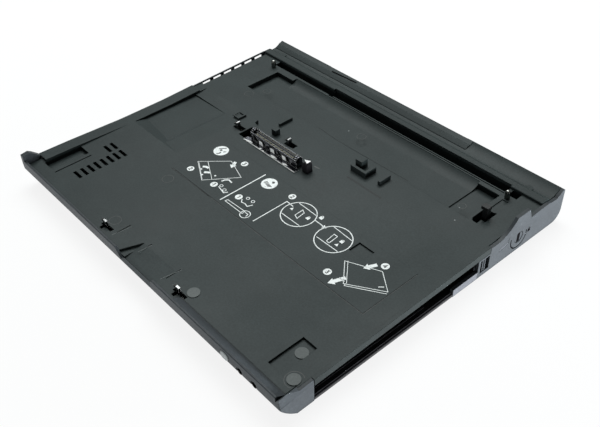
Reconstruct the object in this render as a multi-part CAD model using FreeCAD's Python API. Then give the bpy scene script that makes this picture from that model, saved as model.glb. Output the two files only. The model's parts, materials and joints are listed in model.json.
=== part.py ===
import FreeCAD, Part
import math
import os

# Laptop docking station, millimetres, +Z up. Sizes below are read from the left front corner of the
# case on the table top. The finished pieces are moved so that the origin is the middle of the footprint.

os.makedirs("parts", exist_ok=True)
V = FreeCAD.Vector

# ---- overall -------------------------------------------------------------------------------------
WIDTH = 268.0
DEPTH = 231.0
FOOT_H = 1.0            # feet stand proud of the bottom
WALL = 2.0              # floor, front and rear walls
SIDE_T = 2.2            # right-hand wall
LEFT_T = 5.5            # left wall at its drafted foot
LEFT_DRAFT = 3.4        # how far the left wall leans in at the bottom
REAR_R = 8.0            # rear bottom edge
CORNER_R = 1.0          # right front corner in plan
SEAM = 0.4              # seam between the two halves of the case
PLAY = 0.3              # running clearance

# ---- layout grid ---------------------------------------------------------------------------------
# Places on the tray are given on a grid of equal cells across and along the case. At the stated width
# and depth a cell is 1 mm, and a wider or deeper case spreads the layout.
GRID_NX = 268
GRID_NY = 231
UX = WIDTH / GRID_NX
UY = DEPTH / GRID_NY

# ---- tray ----------------------------------------------------------------------------------------
TRAY_Z = 16.07          # tray surface at the front edge
TRAY_RISE = 0.0178      # rise per millimetre towards the rear
PLATE_T = 1.8
SPLIT = 2.5             # parting plane below the tray surface
TUB_T = 1.4             # floor under a pocket

# ---- front ---------------------------------------------------------------------------------------
UNDERCUT_D = 10.9       # the foot of the front stands back by this
FRONT_EDGE_Z = 12.4     # lower edge of the upright front face
UNDERCUT_BULGE = 0.8
LIP_T = 1.6
LIP_Z = 19.4
LIP_SLOPE_X = 176.0 * UX    # right of here the lip slopes back to the tray
LIP_SLOPE_D = 6.5
NOTCH_X0 = 118.0 * UX   # thumb notch
NOTCH_X1 = 157.5 * UX
NOTCH_LEAN = 7.0
NOTCH_Z = 13.0
NOTCH_RAMP = 14.0
HORN_L = 3.5            # width of the left horn
HORN_L_Y = 12.0
HORN_L_Z = 23.9
HORN_R = 3.4            # width of the right horn
HORN_R_Y = 13.4
HORN_R_Z = 19.9
HORN_R_TOP = 5.0        # distance of its highest point from the front
CORNER_Y = 22.0 * UY    # rear end of the right corner piece
CORNER_IN = 8.0         # the corner is hollow behind this
CREASE_Z = 12.6         # the side of the corner leans inwards above a rising crease
CREASE_RISE = 0.1
CREASE_LEAN = 0.14

# ---- right-hand side -----------------------------------------------------------------------------
STRIP_DOWN = 3.9        # cover strip over the drive bay
STRIP_UP = 0.7
BAY_LIP_Y = 128.0 * UY  # low wall across the rear end of the bay
BAY_LIP_Z = 6.3
BAY_Y1 = 149.5 * UY
LATCH_Y1 = 160.0 * UY
LATCH_WIN_Y0 = 151.5 * UY
LATCH_WIN_Y1 = 159.5 * UY
LATCH_WIN_Z0 = 4.0
LATCH_WIN_Z1 = 13.5
FIN_Y0 = 168.0 * UY
FIN_Y1 = 183.0 * UY
FIN_Y2 = 194.6 * UY
FIN_Z = 28.0
FIN_FOOT_Z = 18.6
FIN_REAR_Z = 20.8
FINGER_Y0 = 168.2 * UY  # finger grip behind the bay latch
FINGER_Y1 = 177.0 * UY
FINGER_Z = 10.4
FINGER_H = 4.4
FINGER_D = 1.0
FINGER_RISE = 0.2

# ---- rear ----------------------------------------------------------------------------------------
BAR_Y = 211.5 * UY      # front face of the rear bar
BAR_Z = 22.0
BAR_VALLEY_Y = 219.5 * UY
BAR_VALLEY_Z = 20.4
BAR_STRIP_X = 197.0 * UX    # right end of the raised strip along the rear edge
BAR_STRIP_Y = 226.5 * UY
BAR_STRIP_Z = 22.8
REAR_Z = 24.2
REAR_SPLIT_Z = 20.0
BAR_UNDER_Z = 19.4
PORT_X0 = 58.0 * UX     # port plate
PORT_X1 = 192.0 * UX
PORT_T = 1.2
PORT_Z0 = 4.0

# ---- tray features: left side --------------------------------------------------------------------
RIM_W = 10.0
RIM_H = 2.0
RIM_Y0 = 34.0 * UY      # the rim starts to fall here
RIM_Y1 = 140.0 * UY
RIM_DIP = 2.7
RIM_DIP_Y = 94.0 * UY
RIM_DIP_L = 8.0         # half length of the rounded bottom of the dip
RIM_REAR_H = 1.0
WIN_Y0 = 149.2 * UY     # row of openings in the left wall
WIN_PITCH = 10.25 * UY
WIN_L = 7.4 * UY
WIN_N = 6
WIN_T = 1.0             # thickness of the wall there
WIN_TOP_F = 0.3         # top of the wall above the tray, front and rear
WIN_TOP_R = 2.3
WIN_BAND = 1.0          # wall above the openings
TROUGH_F = 3.8          # trough behind the wall, front and rear width
TROUGH_R = 1.6
TROUGH_SLOPE = 1.2
HAND_Y0 = 82.0 * UY     # sloping hand pocket
HAND_Y1 = 136.0 * UY
HAND_D = 2.2
HAND_X1 = 47.0 * UX
HAND_X2 = 63.0 * UX
HAND_STEP = 0.5
LEDGE_D = 1.0
LEDGE_Y = 141.0 * UY
LEDGE_END = 147.0 * UY
LEDGE_X1 = 56.0 * UX
LF_X0 = 10.0 * UX       # left front pocket
LF_X1 = 21.0 * UX
LF_Y0 = 11.0 * UY
LF_Y1 = 38.5 * UY
LF_D = 3.0
VENT_X = 33.0 * UX
VENT_L = 9.0
VENT_W = 2.2
VENT_Y = 20.8 * UY
VENT_PITCH = 4.93 * UY
VENT_N = 8
VENT2_X = 21.5 * UX
VENT2_N = 2

# ---- tray features: rear and right ---------------------------------------------------------------
POCKET_X0 = 30.0 * UX
POCKET_X1 = 241.6 * UX
POCKET_Y0 = 170.0 * UY
POCKET_Y1 = 204.0 * UY
POCKET_RAMP_Y = 195.0 * UY
POCKET_D = 3.6
POCKET_END_X = 48.0 * UX
POCKET_END_Y = 200.0 * UY
POCKET2_X0 = 224.5 * UX
POCKET2_Y1 = 201.5 * UY
POCKET2_D = 0.8
GAP_X0 = 20.0 * UX
GAP_X1 = 242.0 * UX
GAP_X2 = 82.0 * UX
GAP_Y0 = 206.0 * UY
GAP_Y1 = 213.0 * UY
GAP_WIDE = 1.0
GAP_D = 8.0
PIT_X0 = 244.5 * UX
PIT_X1 = 251.0 * UX
PIT_Y0 = 205.5 * UY
PIT_D = 6.0
RF_X0 = 243.5 * UX      # right front pocket
RF_X1 = 254.0 * UX
RF_Y0 = 13.0 * UY
RF_Y1 = 37.0 * UY
RF_D = 1.5
RF_WALL = 1.0
LABEL_X0 = 75.0 * UX
LABEL_X1 = 253.0 * UX
LABEL_Y0 = 70.5 * UY
LABEL_Y1 = 114.0 * UY
LABEL_H = 0.2           # printed panel stands proud of the tray
SQUARE_X0 = 212.5 * UX
SQUARE_X1 = 224.5 * UX
SQUARE_Y0 = 99.5 * UY
SQUARE_Y1 = 108.5 * UY
SQUARE_D = 0.8

# ---- docking connector ---------------------------------------------------------------------------
CON_X0 = 88.8 * UX
CON_X1 = 131.0 * UX
CON_Y0 = 129.4 * UY
CON_T = 4.0
CON_Y1 = CON_Y0 + CON_T
CON_H = 7.0             # housing above the tray
SHIELD_T = 0.5
SHIELD_FRONT = 1.0      # front sheet stands off the housing
SHIELD_REAR = 0.3
SHIELD_SIDE = 2.5       # end bracket length
SHIELD_H = 8.2
SHIELD_WIN = 5
FLANGE_Y = 125.2 * UY   # split flange in front of the shield
FLANGE_X0 = 82.4 * UX
FLANGE_X1 = 135.6 * UX
CONTACT_N = 14
CARRIER_T = 1.4
CARRIER_EDGE = 3.6
WELL_X0 = 75.0 * UX     # dark well at the left end of the connector
WELL_Y0 = 126.2 * UY
WELL_Y1 = 138.4 * UY
GUIDE_X = 139.8 * UX    # guide post at the right-hand end
GUIDE_Y = 132.4 * UY
GUIDE_SIZE = 4.8
GUIDE_H = 8.0
PIN_LEFT_X = 22.0 * UX
PIN_INSET = 22.0 * UX   # right pin from the right-hand side
PIN_Y = 202.8 * UY
PIN_R = 1.8
PIN_H = 6.0

# ---- posts and ribs on the tray ------------------------------------------------------------------
POST_X = 91.4 * UX
POST_Y = 142.7 * UY
POST_SIZE = 4.2
POST_H = 4.4
RIB1_X = 87.2 * UX
RIB1_T = 1.5
RIB1_Y = 152.5 * UY
RIB1_L = 11.8
RIB1_H = 2.3
RIB2_X = 181.5 * UX
RIB2_T = 2.0
RIB2_Y = 155.0 * UY
RIB2_L = 10.0
RIB2_H = 3.0
GUSSET_X = 72.2 * UX
GUSSET_Y = 143.2 * UY
GUSSET_L = 2.8
GUSSET_H = 3.0
STEP_X = 158.5 * UX
STEP_Y = 153.5 * UY
STEP_W = 13.5
STEP_L = 10.0
STEP_H = 4.0
STEP_POST = 5.6
STEP_POST_H = 3.0
FRAME_X = 54.6 * UX
FRAME_Y = 136.8 * UY
FRAME_SIZE = 7.0
FRAME_H = 1.5

# ---- undocking latch -----------------------------------------------------------------------------
LATCH_TRAVEL = 4.0
SHEET_DOWN = 3.8        # top of the latch sheet below the tray
SHEET_T = 1.2
ARM_X0 = 62.0 * UX
ARM_X1 = 72.0 * UX
BAR_Y0 = 13.5 * UY
BAR_W = 5.5
BRANCH_Y0 = 139.2 * UY
BRANCH_W = 7.0
FHOOK_XL = 94.0 * UX    # front hooks: left faces of their stems
FHOOK_XR = 171.0 * UX
FHOOK_Y = 7.4 * UY
FHOOK_T = 1.4
FHOOK_W = 3.0
FHOOK_H = 4.2
FHOOK_TIP = 2.4
MHOOK_XL = 66.6 * UX
MHOOK_YL = 130.0 * UY
MHOOK_XR = 107.4 * UX
MHOOK_YR = 142.4 * UY
MHOOK_W = 2.4
MHOOK_L = 3.0
MHOOK_H = 4.2
MHOOK_TIP = 1.8
BUTTON_Y = 69.0 * UY    # release button on the left-hand side
BUTTON_L = 14.0
BUTTON_Z0 = 5.0
BUTTON_Z1 = 12.0
ROD_W = 6.0
SPRING_Y = 77.0 * UY
SPRING_R = 1.7
SPRING_WIRE = 0.35
SPRING_L = 16.0
SPRING_TURNS = 6

# ---- lock and rear hook --------------------------------------------------------------------------
LOCK_Y = 187.0 * UY
LOCK_Z = 11.0
LOCK_R = 3.8
LOCK_L = 9.0
LOCK_CRANK_R = 4.2
LOCK_CRANK_T = 2.2
CRANK_OFF = 2.0         # pin offset along Y and Z at rest
TANG = 1.8
TANG_FIT = 0.05
CRANK_PIN_R = 0.9
CRANK_PIN_L = 3.9
KEY_W = 1.3
KEY_H = 6.5
KEY_D = 4.0
GROOVE_R = 8.0
GROOVE_W = 0.9
GROOVE_D = 0.6
HOOK_X = 246.5 * UX     # rear hook post
HOOK_Y = 177.7 * UY
HOOK_SIZE = 3.4
HOOK_H = 8.0
HOOK_HEAD = 0.3
HOOK_HEAD_L = 1.2       # the head overhangs to the left
HOOK_HEAD_H = 2.2
HOOK_PIT_X0 = 243.2 * UX
HOOK_PIT_X1 = 251.2 * UX
HOOK_PIT_WALL = 1.0     # wall between the pit and the crank
HOOK_PIT_Y0 = 170.8 * UY
HOOK_PIT_Y1 = 186.2 * UY
HOOK_PIT_D = 5.0
HOOK_PIT_R = 3.2        # rounded front corners
SHELF_X = 247.4 * UX    # shelf in the right front corner of the pit
SHELF_Y = 176.4 * UY
SHELF_D = 1.3
SHELF_T = 1.5
SLIDER_Z = 8.0
SLIDER_T = 2.0
SLIDER_TOP = 5.2        # plate above the lock axis

# ---- front button and jacks ----------------------------------------------------------------------
DOCK_X = 224.5 * UX
DOCK_Z = 15.0
DOCK_W = 7.0
DOCK_H = 5.0
DOCK_PROUD = 0.5
DOCK_TRAVEL = 0.8
MIC_X = 236.5 * UX
PHONE_X = 248.0 * UX
JACK_Z = 13.3
JACK_R = 2.15
JACK_BORE_R = 1.8
JACK_SET = 2.0          # jack body behind the front wall
JACK_L = RF_Y0 - RF_WALL - LIP_T - JACK_SET - 0.2
BOARD_T = 1.6

# ---- drive bay -----------------------------------------------------------------------------------
CAGE_T = 0.6
CAGE_X0 = 139.0 * UX
CAGE_GAP = 0.25
BEAD_H = 0.5
BEAD_W = 1.0
BEAD_PITCH = 3.0
BEAD_N = 4
GRIP_Y0 = 153.6 * UY
GRIP_W = 2.8
GRIP_TRAVEL = LATCH_WIN_Y1 - GRIP_Y0 - GRIP_W - 0.2
NOSE_X = 258.5 * UX
NOSE_W = 3.0
NOSE_Z0 = 7.0
NOSE_H = 3.0
NOSE_REACH = 1.5
BAYCON_T = 4.0          # drive connector at the inner end of the bay
BAYCON_L = 36.0
BAYCON_END = 14.0
BAYCON_H = 5.0
BAYCON_SLOT = 1.8

# ---- main board and rear ports -------------------------------------------------------------------
MAIN_Z = 5.0
MAIN_X0 = 76.0 * UX
MAIN_X1 = 136.0 * UX
MAIN_Y0 = 70.0 * UY
MAIN_Y1 = 178.0 * UY
MAIN_REAR_X0 = 40.0 * UX
MAIN_REAR_X1 = 235.0 * UX
PORT_Y0 = 215.6 * UY
DC_X = 66.5 * UX
LAN_X = 76.0 * UX
LAN_W = 16.0
LAN_H = 12.4
USB_X = 98.0 * UX
USB_W = 13.2
USB_H = 6.4
USB_PITCH = 16.0
USB_N = 3
VGA_X = 150.0 * UX
VGA_W = 31.0
VGA_H = 11.0

# ---- fixings -------------------------------------------------------------------------------------
SCREWS = [(x * UX, y * UY) for x, y in ((27.6, 17.0), (190.0, 17.0), (50.0, 158.0), (222.0, 158.0),
                                        (14.0, 219.0), (250.0, 219.0))]
BOSS_R = 3.0
BOSS_Z = 8.0
SHANK_R = 1.2
SCREW_BORE_R = 1.5
BOARD_POST = 2.0        # half width of a board post
HEAD_R = 2.4
HEAD_T = 1.4
FOOT_R = 6.0
FOOT_INSET = 20.0
FOOT_SEAT = 0.5
PAD_R = 3.8
PAD_T = 0.4
PADS = [(x * UX, y * UY, w) for x, y, w in ((178.5, 13.8, 0.0), (250.0, 30.0, -RF_D), (260.6, 15.4, 0.0))]

BASE_Z = FOOT_H
FLOOR_Z = BASE_Z + WALL
BAY_Y0 = CORNER_Y
RIGHT_IN = WIDTH - SIDE_T
FRONT_IN = LIP_T + SEAM
TILT = math.degrees(math.atan(TRAY_RISE))
SHEET_W1 = -SHEET_DOWN
SHEET_W0 = SHEET_W1 - SHEET_T
MAIN_TOP = MAIN_Z + BOARD_T
HIGH = FIN_Z + 10.0


def box(x0, x1, y0, y1, z0, z1):
    return Part.makeBox(x1 - x0, y1 - y0, z1 - z0, V(x0, y0, z0))


def rod_x(x0, x1, y, z, r):
    return Part.makeCylinder(r, x1 - x0, V(x0, y, z), V(1, 0, 0))


def rod_y(x, y0, y1, z, r):
    return Part.makeCylinder(r, y1 - y0, V(x, y0, z), V(0, 1, 0))


def rod_z(x, y, z0, z1, r):
    return Part.makeCylinder(r, z1 - z0, V(x, y, z0), V(0, 0, 1))


def prism_x(points, x0, x1):
    wire = Part.makePolygon([V(x0, y, z) for y, z in points + points[:1]])
    return Part.Face(wire).extrude(V(x1 - x0, 0, 0))


def prism_y(points, y0, y1):
    wire = Part.makePolygon([V(x, y0, z) for x, z in points + points[:1]])
    return Part.Face(wire).extrude(V(0, y1 - y0, 0))


def prism_z(points, z0, z1):
    wire = Part.makePolygon([V(x, y, z0) for x, y in points + points[:1]])
    return Part.Face(wire).extrude(V(0, 0, z1 - z0))


def eight_sided(x, y, z0, z1, r):
    turns = [math.radians(22.5 + 45 * i) for i in range(8)]
    return prism_z([(x + r * math.cos(t), y + r * math.sin(t)) for t in turns], z0, z1)


def fuse(shapes):
    body = shapes[0].multiFuse(shapes[1:]) if len(shapes) > 1 else shapes[0]
    return body.removeSplitter()


def tray(shape):
    """Carry a piece drawn on a level tray (surface at z = 0) to the sloping one."""
    moved = shape.copy()
    moved.rotate(V(0, 0, 0), V(1, 0, 0), TILT)
    moved.translate(V(0, 0, TRAY_Z))
    return moved


def tray_z(y, w=0.0):
    return TRAY_Z + y * TRAY_RISE + w


def above_tray(w):
    return tray(box(-20, WIDTH + 20, -20, DEPTH + 20, w, HIGH))


# ---- case ----------------------------------------------------------------------------------------
def side_face(inset):
    foot = V(0, UNDERCUT_D, BASE_Z)
    edge = V(0, 0, FRONT_EDGE_Z)
    chord = edge.sub(foot)
    bulge = V(0, chord.z, -chord.y).normalize().multiply(-UNDERCUT_BULGE)
    belly = foot.add(edge).multiply(0.5).add(bulge)
    turn = REAR_R * math.sin(math.radians(45))
    heel = V(0, DEPTH - REAR_R + turn, BASE_Z + REAR_R - turn)
    edges = [
        Part.Arc(edge, belly, foot).toShape(),
        Part.makeLine(foot, V(0, DEPTH - REAR_R, BASE_Z)),
        Part.Arc(V(0, DEPTH - REAR_R, BASE_Z), heel, V(0, DEPTH, BASE_Z + REAR_R)).toShape(),
        Part.makeLine(V(0, DEPTH, BASE_Z + REAR_R), V(0, DEPTH, HIGH)),
        Part.makeLine(V(0, DEPTH, HIGH), V(0, 0, HIGH)),
        Part.makeLine(V(0, 0, HIGH), edge),
    ]
    face = Part.Face(Part.Wire(edges))
    if inset:
        face = face.makeOffset2D(-inset)
    return face


def side_solid(inset, x0, x1):
    solid = side_face(inset).extrude(V(x1 - x0, 0, 0))
    solid.translate(V(x0, 0, 0))
    return solid


def left_draft(inset=0.0):
    lean = LEFT_DRAFT + inset
    return prism_y([(-9, -1), (lean, -1), (lean, BASE_Z), (inset, TRAY_Z), (-9, TRAY_Z)], -1, DEPTH + 1)


def front_lip():
    side = [(0, FRONT_EDGE_Z), (0, LIP_Z - 0.4), (0.4, LIP_Z), (LIP_T - 0.3, LIP_Z), (LIP_T, LIP_Z - 0.3),
            (LIP_T, FRONT_EDGE_Z)]
    lip = prism_x(side, 0, WIDTH - HORN_R)
    slope_z = tray_z(LIP_SLOPE_D)
    slope = [(0, FRONT_EDGE_Z), (0, LIP_Z - 0.4), (0.4, LIP_Z), (0.9, LIP_Z), (LIP_SLOPE_D, slope_z),
             (LIP_SLOPE_D, slope_z - SPLIT)]
    wedge = prism_x(slope, LIP_SLOPE_X, WIDTH - HORN_R)
    notch = prism_y([(NOTCH_X0, LIP_Z + 1), (NOTCH_X0 + NOTCH_LEAN, NOTCH_Z), (NOTCH_X1 - 2, NOTCH_Z),
                     (NOTCH_X1, LIP_Z + 1)], -1, LIP_T + 1)
    return lip.fuse(wedge).cut(notch)


def left_horn():
    z = HORN_L_Z
    side = [(0, FRONT_EDGE_Z), (0, z - 0.7), (0.42 * HORN_L_Y, z), (0.63 * HORN_L_Y, z - 1.5),
            (HORN_L_Y, tray_z(HORN_L_Y) + RIM_H + 0.3), (HORN_L_Y, FRONT_EDGE_Z)]
    return prism_x(side, 0, HORN_L)


def right_corner():
    z = HORN_R_Z
    side = [(0, BASE_Z), (0, LIP_Z), (2.2, LIP_Z), (HORN_R_TOP, z),
            (HORN_R_TOP + 2.4, z - 0.6), (HORN_R_Y - 0.5, tray_z(HORN_R_Y) + 0.3),
            (CORNER_Y, tray_z(CORNER_Y) + STRIP_UP), (CORNER_Y, BASE_Z)]
    block = prism_x(side, WIDTH - HORN_R, WIDTH)
    facet_z = tray_z(HORN_R_Y)
    facet = prism_y([(WIDTH - HORN_R - 1, HIGH), (WIDTH - HORN_R - 1, facet_z), (WIDTH - HORN_R, facet_z),
                     (WIDTH - 0.8, HORN_R_Z + 0.2), (WIDTH - 0.8, HIGH)], -1, CORNER_Y + 1)
    inner = box(WIDTH - HORN_R - 1, RIGHT_IN, HORN_R_Y, CORNER_Y + 1, FLOOR_Z, HIGH)
    hollow = box(WIDTH - HORN_R - 1, RIGHT_IN, CORNER_IN, CORNER_Y - 1, FLOOR_Z, tray_z(CORNER_IN) - SPLIT)
    return block.common(side_solid(0, 0, WIDTH)).cut(facet).cut(inner).cut(hollow).cut(corner_lean())


def corner_lean():
    x_top = WIDTH - (HIGH - CREASE_Z) * CREASE_LEAN
    points = [V(WIDTH, -1, CREASE_Z), V(WIDTH + 1, -1, CREASE_Z), V(WIDTH + 1, -1, HIGH), V(x_top, -1, HIGH)]
    face = Part.Face(Part.makePolygon(points + points[:1]))
    return face.extrude(V(0, CORNER_Y + 1, (CORNER_Y + 1) * CREASE_RISE))


def fin_wall():
    """Right-hand wall behind the bay latch, with the guide fin and the dip before the rear bar."""
    rise = Part.Arc(V(0, FIN_Y0, FIN_FOOT_Z), V(0, 0.45 * FIN_Y0 + 0.55 * FIN_Y1, FIN_FOOT_Z + 3.2),
                    V(0, FIN_Y1, FIN_Z)).toShape()
    tail = [V(0, FIN_Y2, FIN_Z), V(0, FIN_Y2 + 2.6, FIN_REAR_Z), V(0, GAP_Y1 + 1.3, FIN_REAR_Z + 0.6),
            V(0, BAR_VALLEY_Y - 1.7, BAR_VALLEY_Z + 0.3)]
    dip = V(0, BAR_VALLEY_Y + 4.0, BAR_VALLEY_Z)
    sweep = Part.Arc(dip, V(0, DEPTH - 4.4, BAR_VALLEY_Z + 2.0), V(0, DEPTH - 1.0, REAR_Z)).toShape()
    low = tray_z(LATCH_Y1, -SPLIT - 3.0)
    rest = [V(0, DEPTH - 1.0, REAR_Z), V(0, DEPTH, REAR_Z - 0.6), V(0, DEPTH, low), V(0, LATCH_Y1, low),
            V(0, LATCH_Y1, FIN_FOOT_Z), V(0, FIN_Y0, FIN_FOOT_Z)]
    edges = [rise, Part.makeLine(V(0, FIN_Y1, FIN_Z), tail[0])]
    edges += [Part.makeLine(a, b) for a, b in zip(tail, tail[1:] + [dip])]
    edges.append(sweep)
    edges += [Part.makeLine(a, b) for a, b in zip(rest, rest[1:])]
    wall = Part.Face(Part.Wire(edges)).extrude(V(SIDE_T, 0, 0))
    wall.translate(V(RIGHT_IN, 0, 0))
    return wall


def finger_grip():
    """Shallow wedge in the right-hand wall, deepest along its rising lower edge."""
    points = [V(WIDTH + 0.01, FINGER_Y0, FINGER_Z + FINGER_H),
              V(WIDTH - FINGER_D, FINGER_Y0, FINGER_Z + 0.3),
              V(WIDTH + 0.01, FINGER_Y0, FINGER_Z)]
    along = FINGER_Y1 - FINGER_Y0
    return Part.Face(Part.makePolygon(points + points[:1])).extrude(V(0, along, along * FINGER_RISE))


def lock_groove():
    ring = rod_x(WIDTH - GROOVE_D, WIDTH + 1, LOCK_Y, LOCK_Z, GROOVE_R)
    ring = ring.cut(rod_x(WIDTH - 2, WIDTH + 2, LOCK_Y, LOCK_Z, GROOVE_R - GROOVE_W))
    return ring.cut(box(WIDTH - 2, WIDTH + 2, LOCK_Y - 20, LOCK_Y + 20, LOCK_Z + 2, HIGH))


def bay_side_cuts():
    x0 = WIDTH - HORN_R
    return [
        box(x0 - 0.1, WIDTH + 1, BAY_Y0, BAY_LIP_Y, -1, HIGH),
        box(x0 - 0.1, WIDTH + 1, BAY_LIP_Y - 0.1, BAY_Y1, BAY_LIP_Z, HIGH),
        box(x0 - 0.1, RIGHT_IN, BAY_LIP_Y - 0.1, LATCH_Y1, FLOOR_Z, HIGH),
        box(x0 - 0.1, RIGHT_IN, LATCH_Y1 - 0.1, DEPTH - WALL, FLOOR_Z, HIGH),
        box(x0 - 0.1, WIDTH + 1, BAY_Y1 - 0.1, LATCH_Y1, tray_z(LATCH_Y1, -STRIP_DOWN) - SEAM, HIGH),
        box(RIGHT_IN - 1, WIDTH + 1, LATCH_WIN_Y0, LATCH_WIN_Y1, LATCH_WIN_Z0, LATCH_WIN_Z1),
    ]


def jack_cuts():
    pocket_z = JACK_Z + JACK_R + 0.05
    cuts = [box(DOCK_X - 18, PHONE_X + 8, LIP_T + 0.2, LIP_SLOPE_D + 1, FRONT_EDGE_Z - 2, pocket_z)]
    for x in (MIC_X, PHONE_X):
        cuts.append(rod_y(x, -1, LIP_T + 3, JACK_Z, JACK_R + PLAY))
    cuts.append(button_shape(PLAY, -2, LIP_T + 1.0))
    return cuts


def button_shape(grow, y0, y1):
    r = DOCK_H / 2 + grow
    half = (DOCK_W - DOCK_H) / 2
    ends = [rod_y(DOCK_X - half, y0, y1, DOCK_Z, r), rod_y(DOCK_X + half, y0, y1, DOCK_Z, r)]
    middle = box(DOCK_X - half, DOCK_X + half, y0, y1, DOCK_Z - r, DOCK_Z + r)
    return ends[0].fuse(middle).fuse(ends[1]).removeSplitter()


def feet_spots():
    return [(x, y) for x in (FOOT_INSET, WIDTH - FOOT_INSET) for y in (FOOT_INSET + 6, DEPTH - FOOT_INSET)]


def base_shell():
    outer = side_solid(0, 0, WIDTH).cut(above_tray(-SPLIT))
    rear = box(0, WIDTH, DEPTH - WALL, DEPTH, BASE_Z + REAR_R, REAR_SPLIT_Z)
    outer = fuse([outer, rear])
    cavity = side_solid(WALL, LEFT_T, WIDTH - HORN_R)
    shell = outer.cut(cavity)
    for cut in bay_side_cuts():
        shell = shell.cut(cut)
    shell = fuse([shell, fin_wall(), right_corner(), front_lip(), left_horn(), window_wall()])
    shell = shell.cut(trough(0.0))
    for cut in windows():
        shell = shell.cut(cut)
    shell = shell.cut(left_draft())
    corner = box(WIDTH - CORNER_R, WIDTH + 1, -1, CORNER_R, -1, HIGH)
    corner = corner.cut(rod_z(WIDTH - CORNER_R, CORNER_R, -2, HIGH + 1, CORNER_R))
    cuts = [corner, lock_groove(), finger_grip()]
    cuts.append(rod_x(RIGHT_IN - 1, WIDTH + 1, LOCK_Y, LOCK_Z, LOCK_R + PLAY))
    cuts += jack_cuts()
    cuts.append(box(-1, LEFT_T + 1, BUTTON_Y - BUTTON_L / 2 - PLAY, BUTTON_Y + BUTTON_L / 2 + PLAY,
                    BUTTON_Z0 - PLAY, BUTTON_Z1 + PLAY))
    for x, y in feet_spots():
        cuts.append(rod_z(x, y, -1, BASE_Z + FOOT_SEAT, FOOT_R + 0.2))
    for x, y in SCREWS:
        cuts.append(rod_z(x, y, -1, FLOOR_Z + 1, HEAD_R + PLAY))
    cuts.append(box(PORT_X0, PORT_X1, DEPTH - PORT_T, DEPTH + 1, PORT_Z0, HIGH))
    cuts.append(box(PORT_X0 + 2, PORT_X1 - 2, DEPTH - WALL - 1, DEPTH, MAIN_Z, BAR_UNDER_Z))
    for cut in cuts:
        shell = shell.cut(cut)
    return shell.removeSplitter()


def base_posts():
    """Screw bosses, board posts and the rails that the latch, the bay latch and the hook run on."""
    parts = []
    for x, y in SCREWS:
        boss = eight_sided(x, y, FLOOR_Z, BOSS_Z, BOSS_R + 0.8)
        parts.append(boss.cut(eight_sided(x, y, 0, HIGH, SCREW_BORE_R)))
    for x, y in board_spots():
        parts.append(box(x - BOARD_POST, x + BOARD_POST, y - BOARD_POST, y + BOARD_POST, FLOOR_Z, MAIN_Z))
    under = above_tray(SHEET_W0 - PLAY)
    for y in (40.0 * UY, 100.0 * UY):
        parts.append(box(ARM_X0 - 2, ARM_X1 + 2, y, y + WALL, FLOOR_Z, HIGH).cut(under))
    for x in (FHOOK_XL + 8, FHOOK_XR - 12):
        parts.append(box(x, x + WALL, BAR_Y0 - 1, BAR_Y0 + BAR_W + 1, FLOOR_Z, HIGH).cut(under))
    spring_z = tray_z(SPRING_Y, SHEET_W1)
    x0 = ARM_X0 - PLAY - SPRING_L
    parts.append(box(x0 - WALL, x0, SPRING_Y - 3, SPRING_Y + 3, FLOOR_Z, spring_z + SPRING_R))
    parts.append(box(NOSE_X - 0.5, RIGHT_IN - 1.6, BAY_Y1 + 1, LATCH_Y1 + 1, FLOOR_Z, NOSE_Z0 - 1 - PLAY))
    parts.append(box(HOOK_X, WIDTH - LOCK_L - 5, HOOK_Y - 3, LOCK_Y + 10, FLOOR_Z, SLIDER_Z - PLAY))
    for x in (DOCK_X - 16, PHONE_X + 2):
        parts.append(box(x, x + 4, UNDERCUT_D + 1, UNDERCUT_D + 5, FLOOR_Z, front_board_z()))
    return Part.makeCompound(parts)


def board_spots():
    xm = (MAIN_X0 + MAIN_X1) / 2
    return [(MAIN_X0 + 6, MAIN_Y0 + 6), (MAIN_X1 - 6, MAIN_Y0 + 6), (xm, MAIN_Y1 - 12),
            (MAIN_REAR_X0 + 8, MAIN_Y1 + 14), (MAIN_REAR_X1 - 8, MAIN_Y1 + 14)]


# ---- cover ---------------------------------------------------------------------------------------
def cover_plate():
    x_in = WIDTH - HORN_R - SEAM
    slope_x = LIP_SLOPE_X - SEAM
    outline = [(HORN_L + SEAM, FRONT_IN), (slope_x, FRONT_IN), (slope_x, LIP_SLOPE_D + SEAM),
               (x_in, LIP_SLOPE_D + SEAM), (x_in, HORN_R_Y + SEAM), (RIGHT_IN - SEAM, HORN_R_Y + SEAM),
               (RIGHT_IN - SEAM, CORNER_Y + SEAM), (WIDTH, CORNER_Y + SEAM), (WIDTH, LATCH_Y1 - SEAM),
               (RIGHT_IN - SEAM, LATCH_Y1 - SEAM), (RIGHT_IN - SEAM, GAP_Y1 + 2), (0, GAP_Y1 + 2),
               (0, HORN_L_Y + SEAM), (HORN_L + SEAM, HORN_L_Y + SEAM)]
    return prism_z(outline, -PLATE_T, 0)


def rim_top():
    """Top edge of the left rim: level, then down to a rounded dip and up again."""
    low = RIM_H - RIM_DIP
    front = RIM_DIP / (RIM_DIP_Y - RIM_Y0)
    rear = (RIM_REAR_H - low) / (RIM_Y1 - RIM_DIP_Y)
    a = V(0, RIM_DIP_Y - RIM_DIP_L, low + front * RIM_DIP_L)
    b = V(0, RIM_DIP_Y + RIM_DIP_L, low + rear * RIM_DIP_L)
    bottom = V(0, RIM_DIP_Y, low + (front + rear) * RIM_DIP_L / 4)
    y0 = HORN_L_Y + SEAM
    line = [V(0, RIM_Y1, RIM_REAR_H), V(0, RIM_Y1, -SPLIT), V(0, y0, -SPLIT), V(0, y0, RIM_H),
            V(0, RIM_Y0, RIM_H - 0.4), a]
    edges = [Part.Arc(a, bottom, b).toShape(), Part.makeLine(b, line[0])]
    edges += [Part.makeLine(p, q) for p, q in zip(line, line[1:])]
    return Part.Face(Part.Wire(edges)).extrude(V(RIM_W, 0, 0))


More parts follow.
